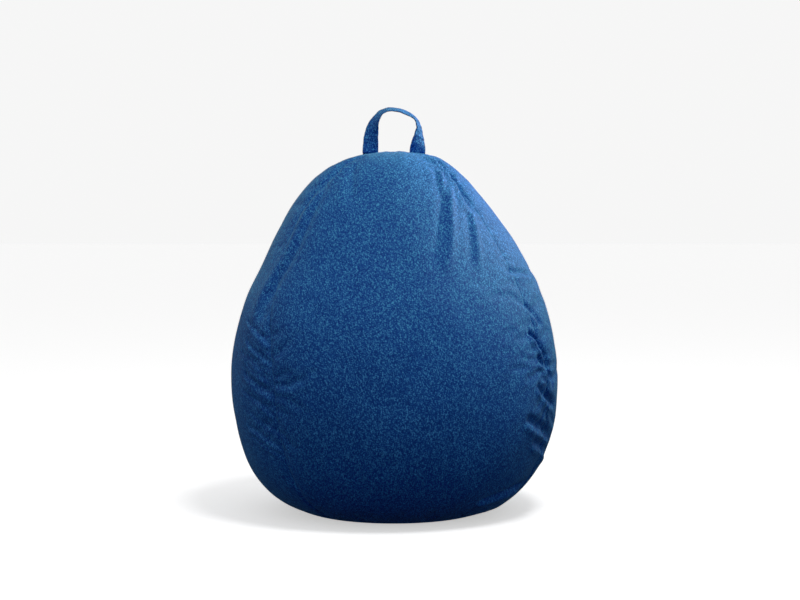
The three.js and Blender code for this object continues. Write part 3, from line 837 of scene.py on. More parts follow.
def make_base():
    rim = panel_rim(0, 0)
    steps = np.concatenate([[0, 0.008, 0.02, 0.04, 0.07], np.linspace(0.11, 0.97, 15)])

    def height_at(x, y, share):
        lift = 0.7 * MM * np.abs(noise(x / (60 * MM), y / (45 * MM), 71)) * smooth(share / 0.15)
        return 0.5 * MM + lift

    rings = crown_disc(rim * (1 - 2 * SEAM_HALF_GAP / BASE_RADIUS), np.zeros(2), steps, height_at)
    edge = rings[:1] + np.array([2.9, 1.5])[:, None, None] * MM * [0, 0, 1]
    rings = np.vstack([edge, rings])
    middle = np.array([[0, 0, 0.6 * MM]])
    piece = disc_piece("base_cloth", rings, middle, [2.3, 2.3], rings[..., :2] + 2.3, flip=True)
    thicken(piece, CLOTH_THICKNESS)
    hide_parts("base_panel")
    return piece


# ---- Inner bag and filling ----


def inner_surface(angles, lengths, depth):
    """A surface inside the cover that follows the cover's larger dents."""
    rim = cap_seam_length(angles)
    up = np.clip(lengths / rim, 0, 1)
    fold = np.minimum(fold_field(angles, lengths), 0)
    slump = np.minimum(slump_field(angles, lengths), 0)
    dent = (np.minimum(fold * 1.2 - 1.5 * MM, 0) + slump) * free_to_move(angles, lengths)
    inward = np.minimum((sampled_move(angles, up) * bag_normal(angles, lengths)).sum(-1), 0)
    return bag_point(angles, lengths, depth) + bag_normal(angles, lengths) * (dent + inward)[..., None]


def sampled_move(angles, up):
    """The simulated movement at any place on the panels, by linear interpolation."""
    row = np.interp(up, ROWS, np.arange(len(ROWS)))
    turn = (angles - SEAMS[0](up)) % 360 + SEAMS[0](up)
    column = np.zeros_like(row)
    for k, columns in enumerate(COLUMNS):
        left = SEAMS[k](up)
        share = (turn - left) / (SEAMS[k + 1](up) - left)
        inside = (share >= 0) & (share <= 1)
        place = STARTS[k] + np.interp(share, columns, np.arange(len(columns)))
        column = np.where(inside, place, column)
    r0 = np.minimum(row.astype(int), MOVE.shape[0] - 2)
    c0 = column.astype(int)
    fr = (row - r0)[..., None]
    fc = (column - c0)[..., None]
    count = MOVE.shape[1]
    low = lerp(MOVE[r0, c0 % count], MOVE[r0, (c0 + 1) % count], fc)
    high = lerp(MOVE[r0 + 1, c0 % count], MOVE[r0 + 1, (c0 + 1) % count], fc)
    return lerp(low, high, fr)


def make_liner_half(node, first, last, slot_side):
    """Half of the inner bag: from the floor over the crown, sewn to the other half at its two sides."""
    across = np.linspace(0, 1, 61)
    up = np.concatenate([np.linspace(0, 0.97, 80), [0.985, 0.995]])
    angle = lerp(first, last, across)[None, :] + 0 * up[:, None]
    length = FULL_LENGTH * up[:, None] + 0 * angle
    radius = np.maximum(outline_at(length)[0], 20 * MM)
    from_slot = across if slot_side > 0 else 1 - across
    shift = np.degrees(zip_gap(length) / radius) * np.exp(-20 * from_slot)
    points = inner_surface(angle + slot_side * shift, length, LINER_DEPTH)
    wrinkle = 0.5 * MM * noise(angle / 6, length / 0.03, 81) - 0.4 * MM
    points = points + bag_normal(angle, length) * wrinkle[..., None]
    points[..., 2] = np.maximum(points[..., 2], LINER_DEPTH)
    floor = points[:1] * [[[0.5, 0.5, 1]]]
    centre = points[:1] * [[[0.02, 0.02, 1]]]
    points = np.vstack([centre, floor, points])
    uv = np.dstack([np.radians(angle) * 0.3, length])
    uv = np.vstack([uv[:1] - [0, 0.2], uv[:1] - [0, 0.1], uv])
    piece = grid_piece(node + "_cloth", points, uv)
    thicken(piece, LINER_THICKNESS)
    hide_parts(node)
    return piece


def make_fill():
    angle = np.linspace(0, 360, 121)[None, :-1]
    length = FULL_LENGTH * np.concatenate([np.linspace(0, 0.97, 70), [0.985, 0.995]])[:, None]
    angle, length = np.broadcast_arrays(angle, length)
    points = inner_surface(angle, length, FILL_DEPTH)
    lumps = 0.8 * MM * noise(angle / 1.2, length / 0.008, 91) - 0.8 * MM
    points = points + bag_normal(angle, length) * lumps[..., None]
    points[..., 2] = np.maximum(points[..., 2], FILL_DEPTH)
    rings = np.vstack([points[:1] * [[[0.03, 0.03, 1]]], points[:1] * [[[0.6, 0.6, 1]]], points])
    rows, columns = rings.shape[:2]
    faces = [list(f) for f in ring_faces(rows, columns)]
    top = rows * columns
    faces += fan(top - columns, columns, top) + fan(0, columns, top + 1, flip=True)
    ends = [[0, 0, rings[-1, :, 2].mean()], [0, 0, FILL_DEPTH]]
    uv = np.zeros((top + 2, 2))
    piece = make_mesh("bead_filling", np.vstack([rings.reshape(-1, 3), ends]), faces, uv)
    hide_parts("bead_fill")
    return piece


# ---- Sewing thread ----

STITCH_PITCH = 3.4 * MM
THREAD_RADIUS = 0.36 * MM
THREAD_SIDES = 6
THREAD_TAPER = np.array([0.45, 0.9, 1.0, 1.0, 0.9, 0.45])


def lengths_along(path):
    """The distance along a path at each of its points."""
    return np.append(0, np.cumsum(np.linalg.norm(np.diff(path, axis=0), axis=1)))


def along_path(path, values, places):
    """Values given at a path's points, read off at other distances along it."""
    lengths = lengths_along(path)
    return np.stack([np.interp(places, lengths, column) for column in values.T], -1)


def tubes(name, centres, outward, radii, sides):
    """Many short tubes at once: centres and outward directions are (tube, step, axis)."""
    count, steps = centres.shape[:2]
    ahead = unit(np.gradient(centres, axis=1))
    beside = unit(np.cross(ahead, outward))
    upward = np.cross(beside, ahead)
    turn = np.linspace(0, 2 * np.pi, sides, endpoint=False)
    ring = (upward[:, :, None] * np.cos(turn)[:, None] + beside[:, :, None] * np.sin(turn)[:, None])
    points = centres[:, :, None] + ring * np.broadcast_to(radii, (count, steps))[:, :, None, None]
    first = (np.arange(count) * steps * sides)[:, None, None]
    step = (np.arange(steps - 1) * sides)[None, :, None]
    side = np.arange(sides)[None, None, :]
    this = first + step + side
    after = first + step + (side + 1) % sides
    quads = np.stack([this, after, after + sides, this + sides], -1).reshape(-1, 4)
    starts = first[:, 0] + np.arange(sides)[::-1]
    ends = first[:, 0] + (steps - 1) * sides + np.arange(sides)
    return make_mesh(name, points.reshape(-1, 3), [*quads, *starts, *ends])


def stitches(name, runs):
    """Rows of stitches. Each run is a path and its outward directions."""
    centres = []
    outs = []
    for path, out in runs:
        total = lengths_along(path)[-1]
        count = max(1, int(total / STITCH_PITCH))
        pitch = total / count
        share = np.linspace(0.1, 0.9, len(THREAD_TAPER))
        places = (np.arange(count)[:, None] + share) * pitch
        outward = along_path(path, out, places)
        lift = THREAD_RADIUS * (1.3 * np.sin(np.pi * np.linspace(0.02, 0.98, len(share))) - 0.45)
        centres.append(along_path(path, path, places) + outward * lift[:, None])
        outs.append(outward)
    return tubes(name, np.vstack(centres), np.vstack(outs), THREAD_RADIUS * THREAD_TAPER, THREAD_SIDES)


# ---- Carry handle ----

LOOP_HEIGHT = 101 * MM
LOOP_TWIST = [0, 20, 38, 60, 72, 76, 76, 80, 70, 40, 0]
LOOP_LINE = [[-0.5, 0], [-0.492, 0.2], [-0.475, 0.44], [-0.42, 0.68], [-0.31, 0.885], [-0.2, 0.965],
             [-0.065, 1], [0.13, 0.965], [0.27, 0.91], [0.39, 0.835], [0.48, 0.745], [0.53, 0.59],
             [0.53, 0.38], [0.51, 0.17], [0.5, 0]]
STRAP_LIFT = 0.3 * MM + STRAP_THICKNESS / 2
FOLD_RADIUS = 2.2 * MM
FOLD_LINE_RISE = 7.2 * MM
# The strap's half section: distance in from the edge in mm, and share of the half thickness.
STRAP_EDGE = [(0, 0), (0.3, 0.62), (0.9, 0.9), (1.8, 1.0), (2.5, 0.95), (2.9, 0.72), (3.3, 0.95),
              (4.4, 1.04), (8, 1.02), (13, 0.98), (19.5, 0.96)]
STRAP_STITCH_IN = 2.9 * MM
STRAP_STITCH_LEVEL = 0.74
BOX_INSET = 0.6 * MM


def strap_spine():
    """The strap's middle line with its width and face directions, from one sewn end to the other."""
    crown = float(crown_height(STRAP_SPACING / 2, 0.0))
    foot = crown + STRAP_LIFT + FOLD_RADIUS
    t = np.linspace(0, 1, 500)
    line = catmull(LOOP_LINE, t)
    rise = LOOP_HEIGHT + (crown + FOLD_LINE_RISE - foot)
    loop = np.stack([line[:, 0] * STRAP_SPACING, 0 * t, foot + line[:, 1] * rise], -1)
    total = lengths_along(loop)[-1]
    places = np.linspace(0, total, 131)
    loop = along_path(loop, loop, places)
    along = unit(np.gradient(loop, axis=0))
    turn = np.radians(catmull(LOOP_TWIST, places / total))
    outward = np.stack([-along[:, 2], 0 * turn, along[:, 0]], -1)
    face = np.array([0, -1, 0]) * np.cos(turn)[:, None] + outward * np.sin(turn)[:, None]
    width = np.cross(along, face)

    def sewn(side):
        x = side * STRAP_SPACING / 2
        y = np.linspace(STRAP_END - STRAP_THICKNESS / 2, FOLD_RADIUS, 20)[:-1]
        flat = np.stack([x + 0 * y, y, crown_height(x + 0 * y, y) + STRAP_LIFT], -1)
        a = np.linspace(0, np.pi / 2, 7)[:-1]
        bend = np.stack([x + 0 * a, FOLD_RADIUS * (1 - np.sin(a)), foot - FOLD_RADIUS * np.cos(a)], -1)
        points = np.vstack([flat, bend])
        down = np.vstack([np.tile([0, 0, -1.0], (len(y), 1)),
                          np.stack([0 * a, -np.sin(a), -np.cos(a)], -1)])
        return points, down, np.tile([-1.0 * side, 0, 0], (len(points), 1))

    start, start_face, start_width = sewn(-1)
    end, end_face, end_width = sewn(1)
    spine = np.vstack([start, loop, end[::-1]])
    faces = np.vstack([start_face, face, end_face[::-1]])
    return spine, np.vstack([start_width, width, end_width]), faces, len(start)


SPINE, SPINE_WIDTH, SPINE_FACE, SEWN_STEPS = strap_spine()
SPINE_AT = lengths_along(SPINE)
# Where each leg is creased, as distance from its end of the strap and reach, and where its sewn part ends.
LEFT_CREASES = (85 * MM, 35 * MM)
RIGHT_CREASES = (82 * MM, 32 * MM)
SEWN_LENGTH = 50 * MM


def strap_wrinkle(place, across):
    """How far the strap's face stands off its middle plane: creases near the legs' feet."""
    from_right = SPINE_AT[-1] - place
    left = bell(place - LEFT_CREASES[0], LEFT_CREASES[1])
    right = bell(from_right - RIGHT_CREASES[0], RIGHT_CREASES[1])
    loose = smooth((place - SEWN_LENGTH) / (20 * MM)) * smooth((from_right - SEWN_LENGTH) / (20 * MM))
    creases = noise(place / 0.008 + across / 0.03, across / 0.028, 101)
    waves = noise(place / 0.030, across / 0.05, 102)
    return loose * MM * (creases * (0.5 + 0.8 * left + 1.7 * right) + 0.9 * waves)


def strap_point(step, across, share):
    """A point of the strap at a spine step, a distance across it, and a share of its half thickness."""
    place = SPINE_AT[step]
    centre = SPINE[step] + SPINE_WIDTH[step] * across[..., None]
    off = strap_wrinkle(place, across) + share * STRAP_THICKNESS / 2
    lean = 0.12 * MM * noise(place / 0.02, 3.3, 103)
    return centre + SPINE_FACE[step] * (off + lean)[..., None]


def make_strap():
    half = np.array([d for d, _ in STRAP_EDGE]) * MM
    rise = np.array([h for _, h in STRAP_EDGE])
    across = np.concatenate([half - STRAP_WIDTH / 2, (STRAP_WIDTH / 2 - half)[::-1][1:]])
    top = np.concatenate([rise, rise[::-1][1:]])
    across = np.concatenate([across, across[::-1][1:-1]])
    share = np.concatenate([top, -top[::-1][1:-1]])
    steps, across, share = np.broadcast_arrays(np.arange(len(SPINE))[:, None], across[None], share[None])
    points = strap_point(steps, across, share)
    rows, columns = points.shape[:2]
    faces = [list(f)[::-1] for f in ring_faces(rows, columns)]
    for end in (0, rows - 1):
        for i in range(columns // 2):
            corners = [i, i + 1, (columns - i - 1) % columns, (columns - i) % columns]
            corners = [end * columns + n for n in dict.fromkeys(corners)]
            if len(corners) > 2:
                faces.append(corners if end == 0 else corners[::-1])
    uv = np.stack([across + 0.2, SPINE_AT[steps]], -1)
    piece = make_mesh("strap", points.reshape(-1, 3), faces, uv.reshape(-1, 2))
    weld(piece, face_outwards=True)
    rounder = piece.modifiers.new("rounder", "SUBSURF")
    rounder.levels = 1
    rounder.render_levels = 1
    apply_modifiers(piece)
    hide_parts("handle_loop", "handle_end_left", "handle_end_right")
    return piece


def make_strap_stitching():
    """Edge stitching along both edges and both faces of the free loop."""
    steps = np.arange(SEWN_STEPS + 1, len(SPINE) - SEWN_STEPS - 1)
    runs = []
    for edge in (-1, 1):
        across = edge * (STRAP_WIDTH / 2 - STRAP_STITCH_IN) + 0.0 * steps
        for side in (-1, 1):
            path = strap_point(steps, across, side * STRAP_STITCH_LEVEL)
            runs.append((path, SPINE_FACE[steps] * side))
    return stitches("strap_edge_stitching", runs)


def box_stitching(name):
    """A box of stitches with a cross in it, which holds one end of the strap."""
    low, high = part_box(name)
    x0, x1 = low[0] + BOX_INSET, high[0] - BOX_INSET
    y0, y1 = low[1] + BOX_INSET, high[1] - BOX_INSET
    corners = np.array([(x0, y0), (x1, y0), (x1, y1), (x0, y1)])
    t = np.linspace(0, 1, 12)[:, None]
    runs = []
    for first, last in ((0, 1), (1, 2), (2, 3), (3, 0), (0, 2), (1, 3)):
        flat = corners[first] * (1 - t) + corners[last] * t
        height = crown_height(flat[:, 0], flat[:, 1]) + STRAP_LIFT + 0.5 * STRAP_THICKNESS - 0.05 * MM
        path = np.column_stack([flat, height])
        runs.append((path, np.tile([0, 0, 1.0], (len(path), 1))))
    piece = stitches(name + "_thread", runs)
    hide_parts(name)
    return piece


# ---- Zips ----

TAPE_COLUMNS = np.array([0.6, 0.75, 1.6, 2.4, 3.4, 5, 8, 11, 13.4, 14.2, 14.9, 15]) * MM
TAPE_TOP = 2.8 * MM
TAPE_THICKNESS = 0.6 * MM
TAPE_TAIL = 8 * MM
COIL_PITCH = 1.6 * MM
COIL_MIDDLE = np.array([1.55, 1.7]) * MM
COIL_HALF = np.array([1.35, 0.72]) * MM
COIL_WIRE = 0.36 * MM
COIL_WIRE_SIDES = 6
COIL_TURN_STEPS = 12


def zip_point(facing, across, arc_angle, depth):
    """A point of a zip that faces this way: across it, along its arc, and under the cloth's surface."""
    radius = SIDE_ARC_RADIUS - depth
    out = SIDE_CENTRE + radius * np.cos(arc_angle)
    height = WIDEST_HEIGHT + radius * np.sin(arc_angle)
    turn = math.radians(facing)
    x = across * math.cos(turn) + out * math.sin(turn)
    y = across * math.sin(turn) - out * math.cos(turn)
    return np.stack(np.broadcast_arrays(x, y, height), -1)


def side_of(node, facing):
    """Which side of the zip's middle a node lies on."""
    low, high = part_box(node)
    middle = (np.array(low) + np.array(high))[:2] / 2
    turn = math.radians(facing)
    return 1 if middle @ [math.cos(turn), math.sin(turn)] > 0 else -1


def make_tape(name, facing, depth, side):
    tail = TAPE_TAIL / SIDE_ARC_RADIUS
    arc_angle = np.linspace(ZIP_START - tail, ZIP_END + tail, 150)[:, None]
    across = TAPE_COLUMNS[None]
    bead = 0.12 * MM * bell(across - 4.2 * MM, 0.5 * MM)
    ripple = 0.12 * MM * noise(arc_angle / 0.03, across / 0.006, 111)
    top = zip_point(facing, side * across, arc_angle, depth + TAPE_TOP + 0.1 * MM + ripple - bead)
    uv = np.dstack([across + 0 * arc_angle, arc_angle * SIDE_ARC_RADIUS + 0 * across])
    if side < 0:
        top = top[:, ::-1]
        uv = uv[:, ::-1]
    piece = grid_piece(name + "_woven", top, uv)
    thicken(piece, TAPE_THICKNESS - 0.15 * MM)
    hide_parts(name)
    return piece


def make_coil(name, facing, depth, side):
    """One side's teeth: a nylon strand wound along the tape's edge. The other side is half a turn on."""
    reach = ZIP_END - ZIP_START
    turns = round(ZIP_LENGTH / COIL_PITCH)
    t = np.linspace(0, 1, turns * COIL_TURN_STEPS + 1)
    phase = 2 * np.pi * turns * t + (np.pi if side > 0 else 0)
    lag = 0.3 * np.sin(phase) / turns
    arc_angle = ZIP_START + reach * np.clip(t + lag, 0.5 / turns, 1 - 0.5 / turns)
    across = side * (COIL_MIDDLE[0] + COIL_HALF[0] * np.cos(phase))
    down = depth + COIL_MIDDLE[1] - COIL_HALF[1] * np.sin(phase)
    path = zip_point(facing, across, arc_angle, down)
    core = zip_point(facing, side * COIL_MIDDLE[0], arc_angle, depth + COIL_MIDDLE[1])
    piece = tubes(name + "_coil", path[None], unit(path - core)[None], COIL_WIRE, COIL_WIRE_SIDES)
    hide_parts(name)
    return piece


def make_zip_stitching():
    """Topstitching round the slot in the cover, with a bar of close stitches at each end."""
    low = ZIP_START - 7 * MM / SIDE_ARC_RADIUS
    high = ZIP_END + 7 * MM / SIDE_ARC_RADIUS
    beside = ZIP_SLOT + 3.2 * MM
    runs = []

    def on_cloth(across, arc_angle):
        length = length_at_arc(arc_angle)
        radius = outline_at(length)[0]
        angle = 180 + np.degrees(across / radius)
        return bag_point(angle, length), bag_normal(angle, length)

    arc_angle = np.linspace(low, high, 200)
    for side in (-1, 1):
        runs.append(on_cloth(side * beside + 0 * arc_angle, arc_angle))
    across = np.linspace(-beside, beside, 9)
    for end in (low, high):
        for bar in range(3):
            runs.append(on_cloth(across, end + 0 * across + (bar - 1) * 1.1 * MM / SIDE_ARC_RADIUS))
    return stitches("cover_zip_topstitching", runs)


# ---- Materials ----


class Nodes:
    """A short way to write the nodes of a material or of the room."""

    def __init__(self, tree):
        self.tree = tree

    def put(self, socket, value):
        if isinstance(value, bpy.types.NodeSocket):
            self.tree.links.new(value, socket)
        else:
            socket.default_value = value

    def node(self, kind, inputs, output=0, **settings):
        """Adds a node with its settings and inputs, and gives one of its outputs."""
        node = self.tree.nodes.new("ShaderNode" + kind)
        for name, value in settings.items():
            setattr(node, name, value)
        for place, value in inputs.items():
            self.put(node.inputs[place], value)
        return node.outputs[output]

    def math(self, operation, a, b=0.0, clamp=False):
        return self.node("Math", {0: a, 1: b}, operation=operation, use_clamp=clamp)

    def plus(self, a, b):
        return self.math("ADD", a, b)

    def times(self, a, b):
        return self.math("MULTIPLY", a, b)

    def weighted(self, a, share_a, b, share_b):
        return self.plus(self.times(a, share_a), self.times(b, share_b))

    def choose(self, first, a, b):
        """The value a where first is 1, and b where it is 0."""
        return self.plus(self.times(first, a), self.times(self.math("SUBTRACT", 1.0, first), b))

    def scaled(self, vector, factors):
        return self.node("VectorMath", {0: vector, 1: factors}, operation="MULTIPLY")

    def part(self, vector, axis):
        return self.node("SeparateXYZ", {0: vector}, axis)

    def noise(self, vector, detail=2.0, roughness=0.5, dimensions="3D"):
        inputs = {"Vector": vector, "Scale": 1.0, "Detail": detail, "Roughness": roughness}
        return self.node("TexNoise", inputs, noise_dimensions=dimensions)

    def voronoi(self, vector):
        return self.node("TexVoronoi", {"Vector": vector, "Scale": 1.0}, "Distance")

    def ramp(self, value, stops):
        result = self.node("ValToRGB", {0: value})
        ramp = result.node.color_ramp
        while len(ramp.elements) < len(stops):
            ramp.elements.new(0.5)
        for element, (place, colour) in zip(ramp.elements, stops):
            element.position = place
            element.color = (*colour, 1)
        return result

    def shades(self, value, low, high, colour, dark, light):
        """From a darker to a lighter shade of one colour as the value goes from low to high."""
        stops = [(low, dark), (high, light)]
        return self.ramp(value, [(place, [share * c for c in colour]) for place, share in stops])

    def bump(self, height, distance, strength, under=None):
        """Fine relief, some metres high, over the relief that is under it."""
        inputs = {"Distance": distance, "Strength": strength, "Height": height}
        if under is not None:
            inputs["Normal"] = under
        return self.node("Bump", inputs)

    def uv(self):
        return self.node("UVMap", {}, uv_map="cloth")

    def place(self):
        return self.node("TexCoord", {}, "Object")


class Material(Nodes):
    """The nodes of a new material with one shader."""

    def __init__(self, name):
        self.material = bpy.data.materials.new(name)
        self.material.use_nodes = True
        super().__init__(self.material.node_tree)
        self.tree.nodes.clear()
        output = self.tree.nodes.new("ShaderNodeOutputMaterial")
        self.shader = self.tree.nodes.new("ShaderNodeBsdfPrincipled")
        self.put(output.inputs[0], self.shader.outputs[0])

    def finish(self, **sockets):
        for name, value in sockets.items():
            self.put(self.shader.inputs[name.replace("_", " ")], value)
        return self.material


def threads(n, across, along, width, length):
    """A tone that changes from thread to thread, and slowly along each thread."""
    number = n.math("FLOOR", n.math("DIVIDE", across, width))
    start = n.times(n.math("SINE", n.times(number, 12.9898)), 437.58)
    along = n.plus(n.math("DIVIDE", along, length), start)
    place = n.node("CombineXYZ", {0: n.times(number, 3.717), 1: along})
    return n.noise(place, 1.0, 0.5, "2D")


THREAD_WIDTH = 0.75 * MM
SLUB_WIDTH = 2 * THREAD_WIDTH
WARP_STREAK = 7 * MM
WEFT_STREAK = 5 * MM
FINE_STREAK = 3 * MM


def woven(name, dark, middle, light):
    """Cloth woven from slubby threads of several blues, seen as short streaks along both directions."""
    n = Material(name)
    uv = n.uv()
    u = n.part(uv, 0)
    v = n.part(uv, 1)
    warp = threads(n, u, v, SLUB_WIDTH, WARP_STREAK)
    weft = threads(n, v, u, SLUB_WIDTH, WEFT_STREAK)
    fine_warp = threads(n, u, v, THREAD_WIDTH, FINE_STREAK)
    fine_weft = threads(n, v, u, THREAD_WIDTH, FINE_STREAK)
    wave_u = n.math("SINE", n.times(u, math.pi / THREAD_WIDTH))
    wave_v = n.math("SINE", n.times(v, math.pi / THREAD_WIDTH))
    over = n.math("GREATER_THAN", n.times(wave_u, wave_v), 0.0)
    fine = n.choose(over, fine_warp, fine_weft)
    mean = n.times(n.plus(warp, weft), 0.5)
    streaks = n.weighted(n.choose(over, warp, weft), 0.35, mean, 0.65)
    patches = n.noise(n.scaled(uv, (1 / (70 * MM), 1 / (90 * MM), 1)), 3.0)
    tone = n.weighted(streaks, 0.85, fine, 0.15)
    tone = n.plus(tone, n.times(n.math("SUBTRACT", patches, 0.5), 0.06))
    colour = n.ramp(tone, [(0.40, dark), (0.51, middle), (0.66, light)])

    relief = n.times(n.math("ABSOLUTE", wave_u), n.math("ABSOLUTE", wave_v))
    weave = n.bump(relief, 0.14 * MM, 0.7)
    slubs = n.bump(streaks, 0.5 * MM, 0.6, weave)
    crinkle = n.noise(n.scaled(uv, (1 / (17 * MM), 1 / (22 * MM), 1)), 3.0, 0.55)
    surface = n.bump(crinkle, 1.6 * MM, 0.4, slubs)
    rough = n.math("ADD", 0.55, n.times(tone, 0.3), clamp=True)
    return n.finish(Base_Color=colour, Roughness=rough, Normal=surface, Sheen_Weight=0.2,
                    Sheen_Roughness=0.4, Sheen_Tint=(0.38, 0.90, 1.0, 1), Specular_IOR_Level=0.18)


def thread_material(name, colour):
    n = Material(name)
    twist = n.noise(n.scaled(n.place(), (2400, 2400, 2400)))
    tone = n.shades(twist, 0.3, 0.7, colour, 0.55, 1.35)
    return n.finish(Base_Color=tone, Roughness=0.5, Normal=n.bump(twist, 0.1 * MM, 0.7), Sheen_Weight=0.2)


def tape_material(name, colour):
    """Narrow ribbed weave of a zip tape."""
    n = Material(name)
    uv = n.uv()
    ribs = n.math("SINE", n.times(n.part(uv, 0), 2 * math.pi / (0.9 * MM)))
    picks = n.math("SINE", n.times(n.part(uv, 1), 2 * math.pi / (0.6 * MM)))
    relief = n.times(n.plus(ribs, 1.2), n.plus(picks, 1.6))
    fuzz = n.noise(n.scaled(uv, (900, 900, 1)), 3.0)
    # Partly painted shade: the tone follows the ribs' relief and is darker in the hollows between ribs.
    # The fuzz adds random tone over it.
    tone = n.shades(n.weighted(relief, 0.12, fuzz, 0.6), 0.2, 0.8, colour, 0.5, 1.3)
    surface = n.bump(relief, 0.12 * MM, 0.6)
    return n.finish(Base_Color=tone, Roughness=0.78, Normal=surface, Sheen_Weight=0.15)


def nylon_material(name, colour):
    n = Material(name)
    cloud = n.noise(n.scaled(n.place(), (700, 700, 700)))
    tone = n.shades(cloud, 0.3, 0.7, colour, 0.8, 1.2)
    rough = n.plus(0.24, n.times(cloud, 0.2))
    return n.finish(Base_Color=tone, Roughness=rough, Normal=n.bump(cloud, 0.05 * MM, 0.4))


def metal_material(name):
    """Nickel plate with fine rubbing marks, duller where it is handled."""
    n = Material(name)
    place = n.place()
    marks = n.noise(n.scaled(place, (2600, 2600, 300)), 3.0, 0.6)
    wear = n.noise(n.scaled(place, (160, 160, 160)), 3.0, 0.6)
    tone = n.ramp(wear, [(0.3, (0.48, 0.47, 0.45)), (0.7, (0.66, 0.65, 0.62))])
    rough = n.plus(0.2, n.times(n.plus(marks, wear), 0.16))
    return n.finish(Base_Color=tone, Metallic=1.0, Roughness=rough, Normal=n.bump(marks, 0.03 * MM, 0.5))


def liner_material(name):
    """Thin pressed cloth with small embossed points."""
    n = Material(name)
    uv = n.uv()
    dots = n.voronoi(n.scaled(uv, (420, 420, 1)))
    fibres = n.noise(n.scaled(uv, (260, 900, 1)), 4.0, 0.6)
    tone = n.ramp(fibres, [(0.3, (0.66, 0.65, 0.61)), (0.7, (0.82, 0.81, 0.78))])
    surface = n.bump(n.weighted(dots, 0.6, fibres, 0.4), 0.2 * MM, 0.6)
    return n.finish(Base_Color=tone, Roughness=0.85, Normal=surface, Sheen_Weight=0.1)


def bead_material(name):
    n = Material(name)
    beads = n.voronoi(n.scaled(n.place(), (260, 260, 260)))
    # Painted shade between the beads: the tone is lighter at each bead's middle and darker where the beads
    # meet.
    tone = n.ramp(beads, [(0.0, (0.86, 0.86, 0.85)), (0.6, (0.62, 0.63, 0.64))])
    surface = n.bump(n.math("SUBTRACT", 1.0, beads), 1.2 * MM, 0.9)
    return n.finish(Base_Color=tone, Roughness=0.7, Normal=surface)


def give(piece, material):
    piece.data.materials.clear()
    piece.data.materials.append(material)


# ---- Making everything ----

MELANGE = [(0.003, 0.050, 0.230), (0.009, 0.094, 0.360), (0.085, 0.38, 0.78)]
cloth = woven("blue_melange", *MELANGE)
strap_cloth = woven("blue_melange_strap", *MELANGE)
thread = thread_material("blue_thread", (0.018, 0.085, 0.26))
cover_tape = tape_material("navy_tape", (0.010, 0.040, 0.13))
cover_nylon = nylon_material("navy_nylon", (0.010, 0.038, 0.12))
metal = metal_material("nickel")
liner_cloth = liner_material("pressed_liner")
liner_tape = tape_material("white_tape", (0.62, 0.62, 0.60))
liner_nylon = nylon_material("white_nylon", (0.60, 0.60, 0.58))
beads = bead_material("bead_white")


def add(piece, body, material, slot):
    give(piece, material)
    if body:
        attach(piece, body)


for piece in make_panels() + [make_cap(), make_base()]:
    add(piece, "bag", cloth, "cover_fabric")

strap = make_strap()
add(strap, None, strap_cloth, "strap_fabric")
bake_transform(strap)
edge_stitching = make_strap_stitching()
add(edge_stitching, None, thread, "sewing_thread")
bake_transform(edge_stitching)
for node in ("handle_stitching_left", "handle_stitching_right"):
    add(box_stitching(node), "bag", thread, "sewing_thread")

ZIPS = [
    ("cover_zip", ("left", "right"), 180, 0.0, cover_tape, cover_nylon, "cover_zip_teeth"),
    ("liner_zip", ("front", "back"), 90, LINER_DEPTH, liner_tape, liner_nylon, "liner_zip_tape"),
]
for zip_name, halves, facing, depth, tape, nylon, teeth_slot in ZIPS:
    for half in halves:
        node = f"{zip_name}_tape_{half}"
        add(make_tape(node, facing, depth, side_of(node, facing)), "bag", tape, f"{zip_name}_tape")
        node = f"{zip_name}_teeth_{half}"
        add(make_coil(node, facing, depth, side_of(node, facing)), "bag", nylon, teeth_slot)
add(make_zip_stitching(), "bag", thread, "sewing_thread")

for node, first, last, slot_side in (("liner_front", -90, 90, -1), ("liner_back", 90, 270, 1)):
    piece = make_liner_half(node, first, last, slot_side)
    add(piece, "bag", liner_cloth, "liner_fabric")
add(make_fill(), "bag", beads, "polystyrene_beads")

for name in ("cover_zip_slider", "cover_zip_pull", "cover_zip_top_stop", "cover_zip_bottom_stop",
             "liner_zip_slider", "liner_zip_top_stop", "liner_zip_bottom_stop"):
    give(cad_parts[name], metal)

# ---- Room, lights and camera ----

# Lifts the floor to the backdrop's tone, so that no horizon shows.
FLOOR_GLOW = 0.575
FLOOR_REACH = 60


def stage_material(name, tone):
    n = Material(name)
    grain = n.noise(n.scaled(n.place(), (9, 9, 9)), 3.0)
    colour = n.ramp(grain, [(0.3, [tone] * 3), (0.7, [tone + 0.01] * 3)])
    return n.finish(Base_Color=colour, Roughness=0.9, Specular_IOR_Level=0.1,
                    Emission_Color=(1, 1, 1, 1), Emission_Strength=FLOOR_GLOW)


def make_floor():
    """A pale floor that takes shadows. It throws no light back on the bag."""
    corners = [(-1, -1, 0), (1, -1, 0), (1, 1, 0), (-1, 1, 0)]
    floor = make_mesh("floor", np.array(corners) * FLOOR_REACH, [(0, 1, 2, 3)])
    floor.visible_diffuse = False
    floor.visible_glossy = False
    give(floor, stage_material("pale_floor", 0.86))


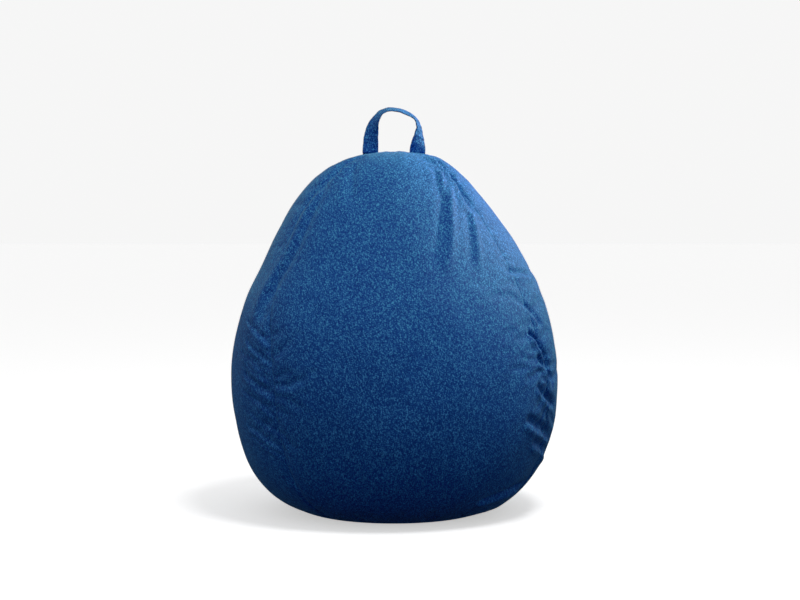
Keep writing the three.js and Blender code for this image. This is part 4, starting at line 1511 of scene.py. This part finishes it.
def make_room(light, backdrop):
    """Even light from every side above the floor, and a paler backdrop behind everything."""
    world = bpy.data.worlds.new("room")
    world.use_nodes = True
    n = Nodes(world.node_tree)
    direction = n.node("TexCoord", {}, "Generated")
    above = n.math("GREATER_THAN", n.part(direction, 2), -0.02)
    seen = n.node("LightPath", {}, "Is Camera Ray")
    tone = n.node("MapRange", {"Value": seen, "To Min": light, "To Max": backdrop})
    background = world.node_tree.nodes["Background"]
    n.put(background.inputs[0], (1, 1, 1, 1))
    n.put(background.inputs[1], n.times(above, tone))
    bpy.context.scene.world = world


def hang_lamp(name, kind, place, aim, power, **settings):
    """A lamp at a place, turned towards a point."""
    light = bpy.data.lights.new(name, kind)
    light.energy = power
    for key, value in settings.items():
        setattr(light, key, value)
    lamp = put_in_scene(name, light)
    lamp.location = place
    lamp.rotation_euler = (Vector(aim) - Vector(place)).to_track_quat("-Z", "Y").to_euler()


# The picture's tones: a soft toe for the darks and a soft shoulder for the lights.
TONES = [(0.0, 0.0), (0.005, 0.003), (0.02, 0.0165), (0.06, 0.055), (0.2, 0.2), (0.5, 0.44), (1.0, 0.97)]
# After those, the darks are lifted a little in blue alone.
BLUE_TONES = [(0.0, 0.0), (0.01, 0.019), (0.025, 0.040), (0.07, 0.084), (0.2, 0.205), (1.0, 1.0)]


def set_tones():
    view = bpy.context.scene.view_settings
    view.view_transform = "Standard"
    view.use_curve_mapping = True
    curves = view.curve_mapping.curves
    for curve, tones in ((curves[3], TONES), (curves[2], BLUE_TONES)):
        for x, y in tones[1:-1]:
            curve.points.new(x, y)
        curve.points[0].location = tones[0]
        curve.points[len(tones) - 1].location = tones[-1]
    view.curve_mapping.update()


EYE = (0.015, -4.0, 0.70)
EYE_DOWN = math.radians(2.607)
EYE_LENS = 72.83


def make_camera():
    camera = bpy.data.cameras.new("camera")
    camera.lens = EYE_LENS
    camera.clip_end = 200
    camera.sensor_width = 36
    eye = put_in_scene("camera", camera)
    eye.location = EYE
    eye.rotation_euler = (math.pi / 2 - EYE_DOWN, 0, 0)
    bpy.context.scene.camera = eye


make_floor()
make_camera()
make_room(light=0.46, backdrop=0.96)
hang_lamp("key", "AREA", (1.0, -1.4, 4.1), (0, 0, 0.6), 61, shape="DISK", size=1.0)
hang_lamp("side", "SPOT", (2.4, 0.75, 1.95), (0.22, 0, 0.89), 390,
          spot_size=math.radians(25), spot_blend=1.0, shadow_soft_size=0.2)
set_tones()
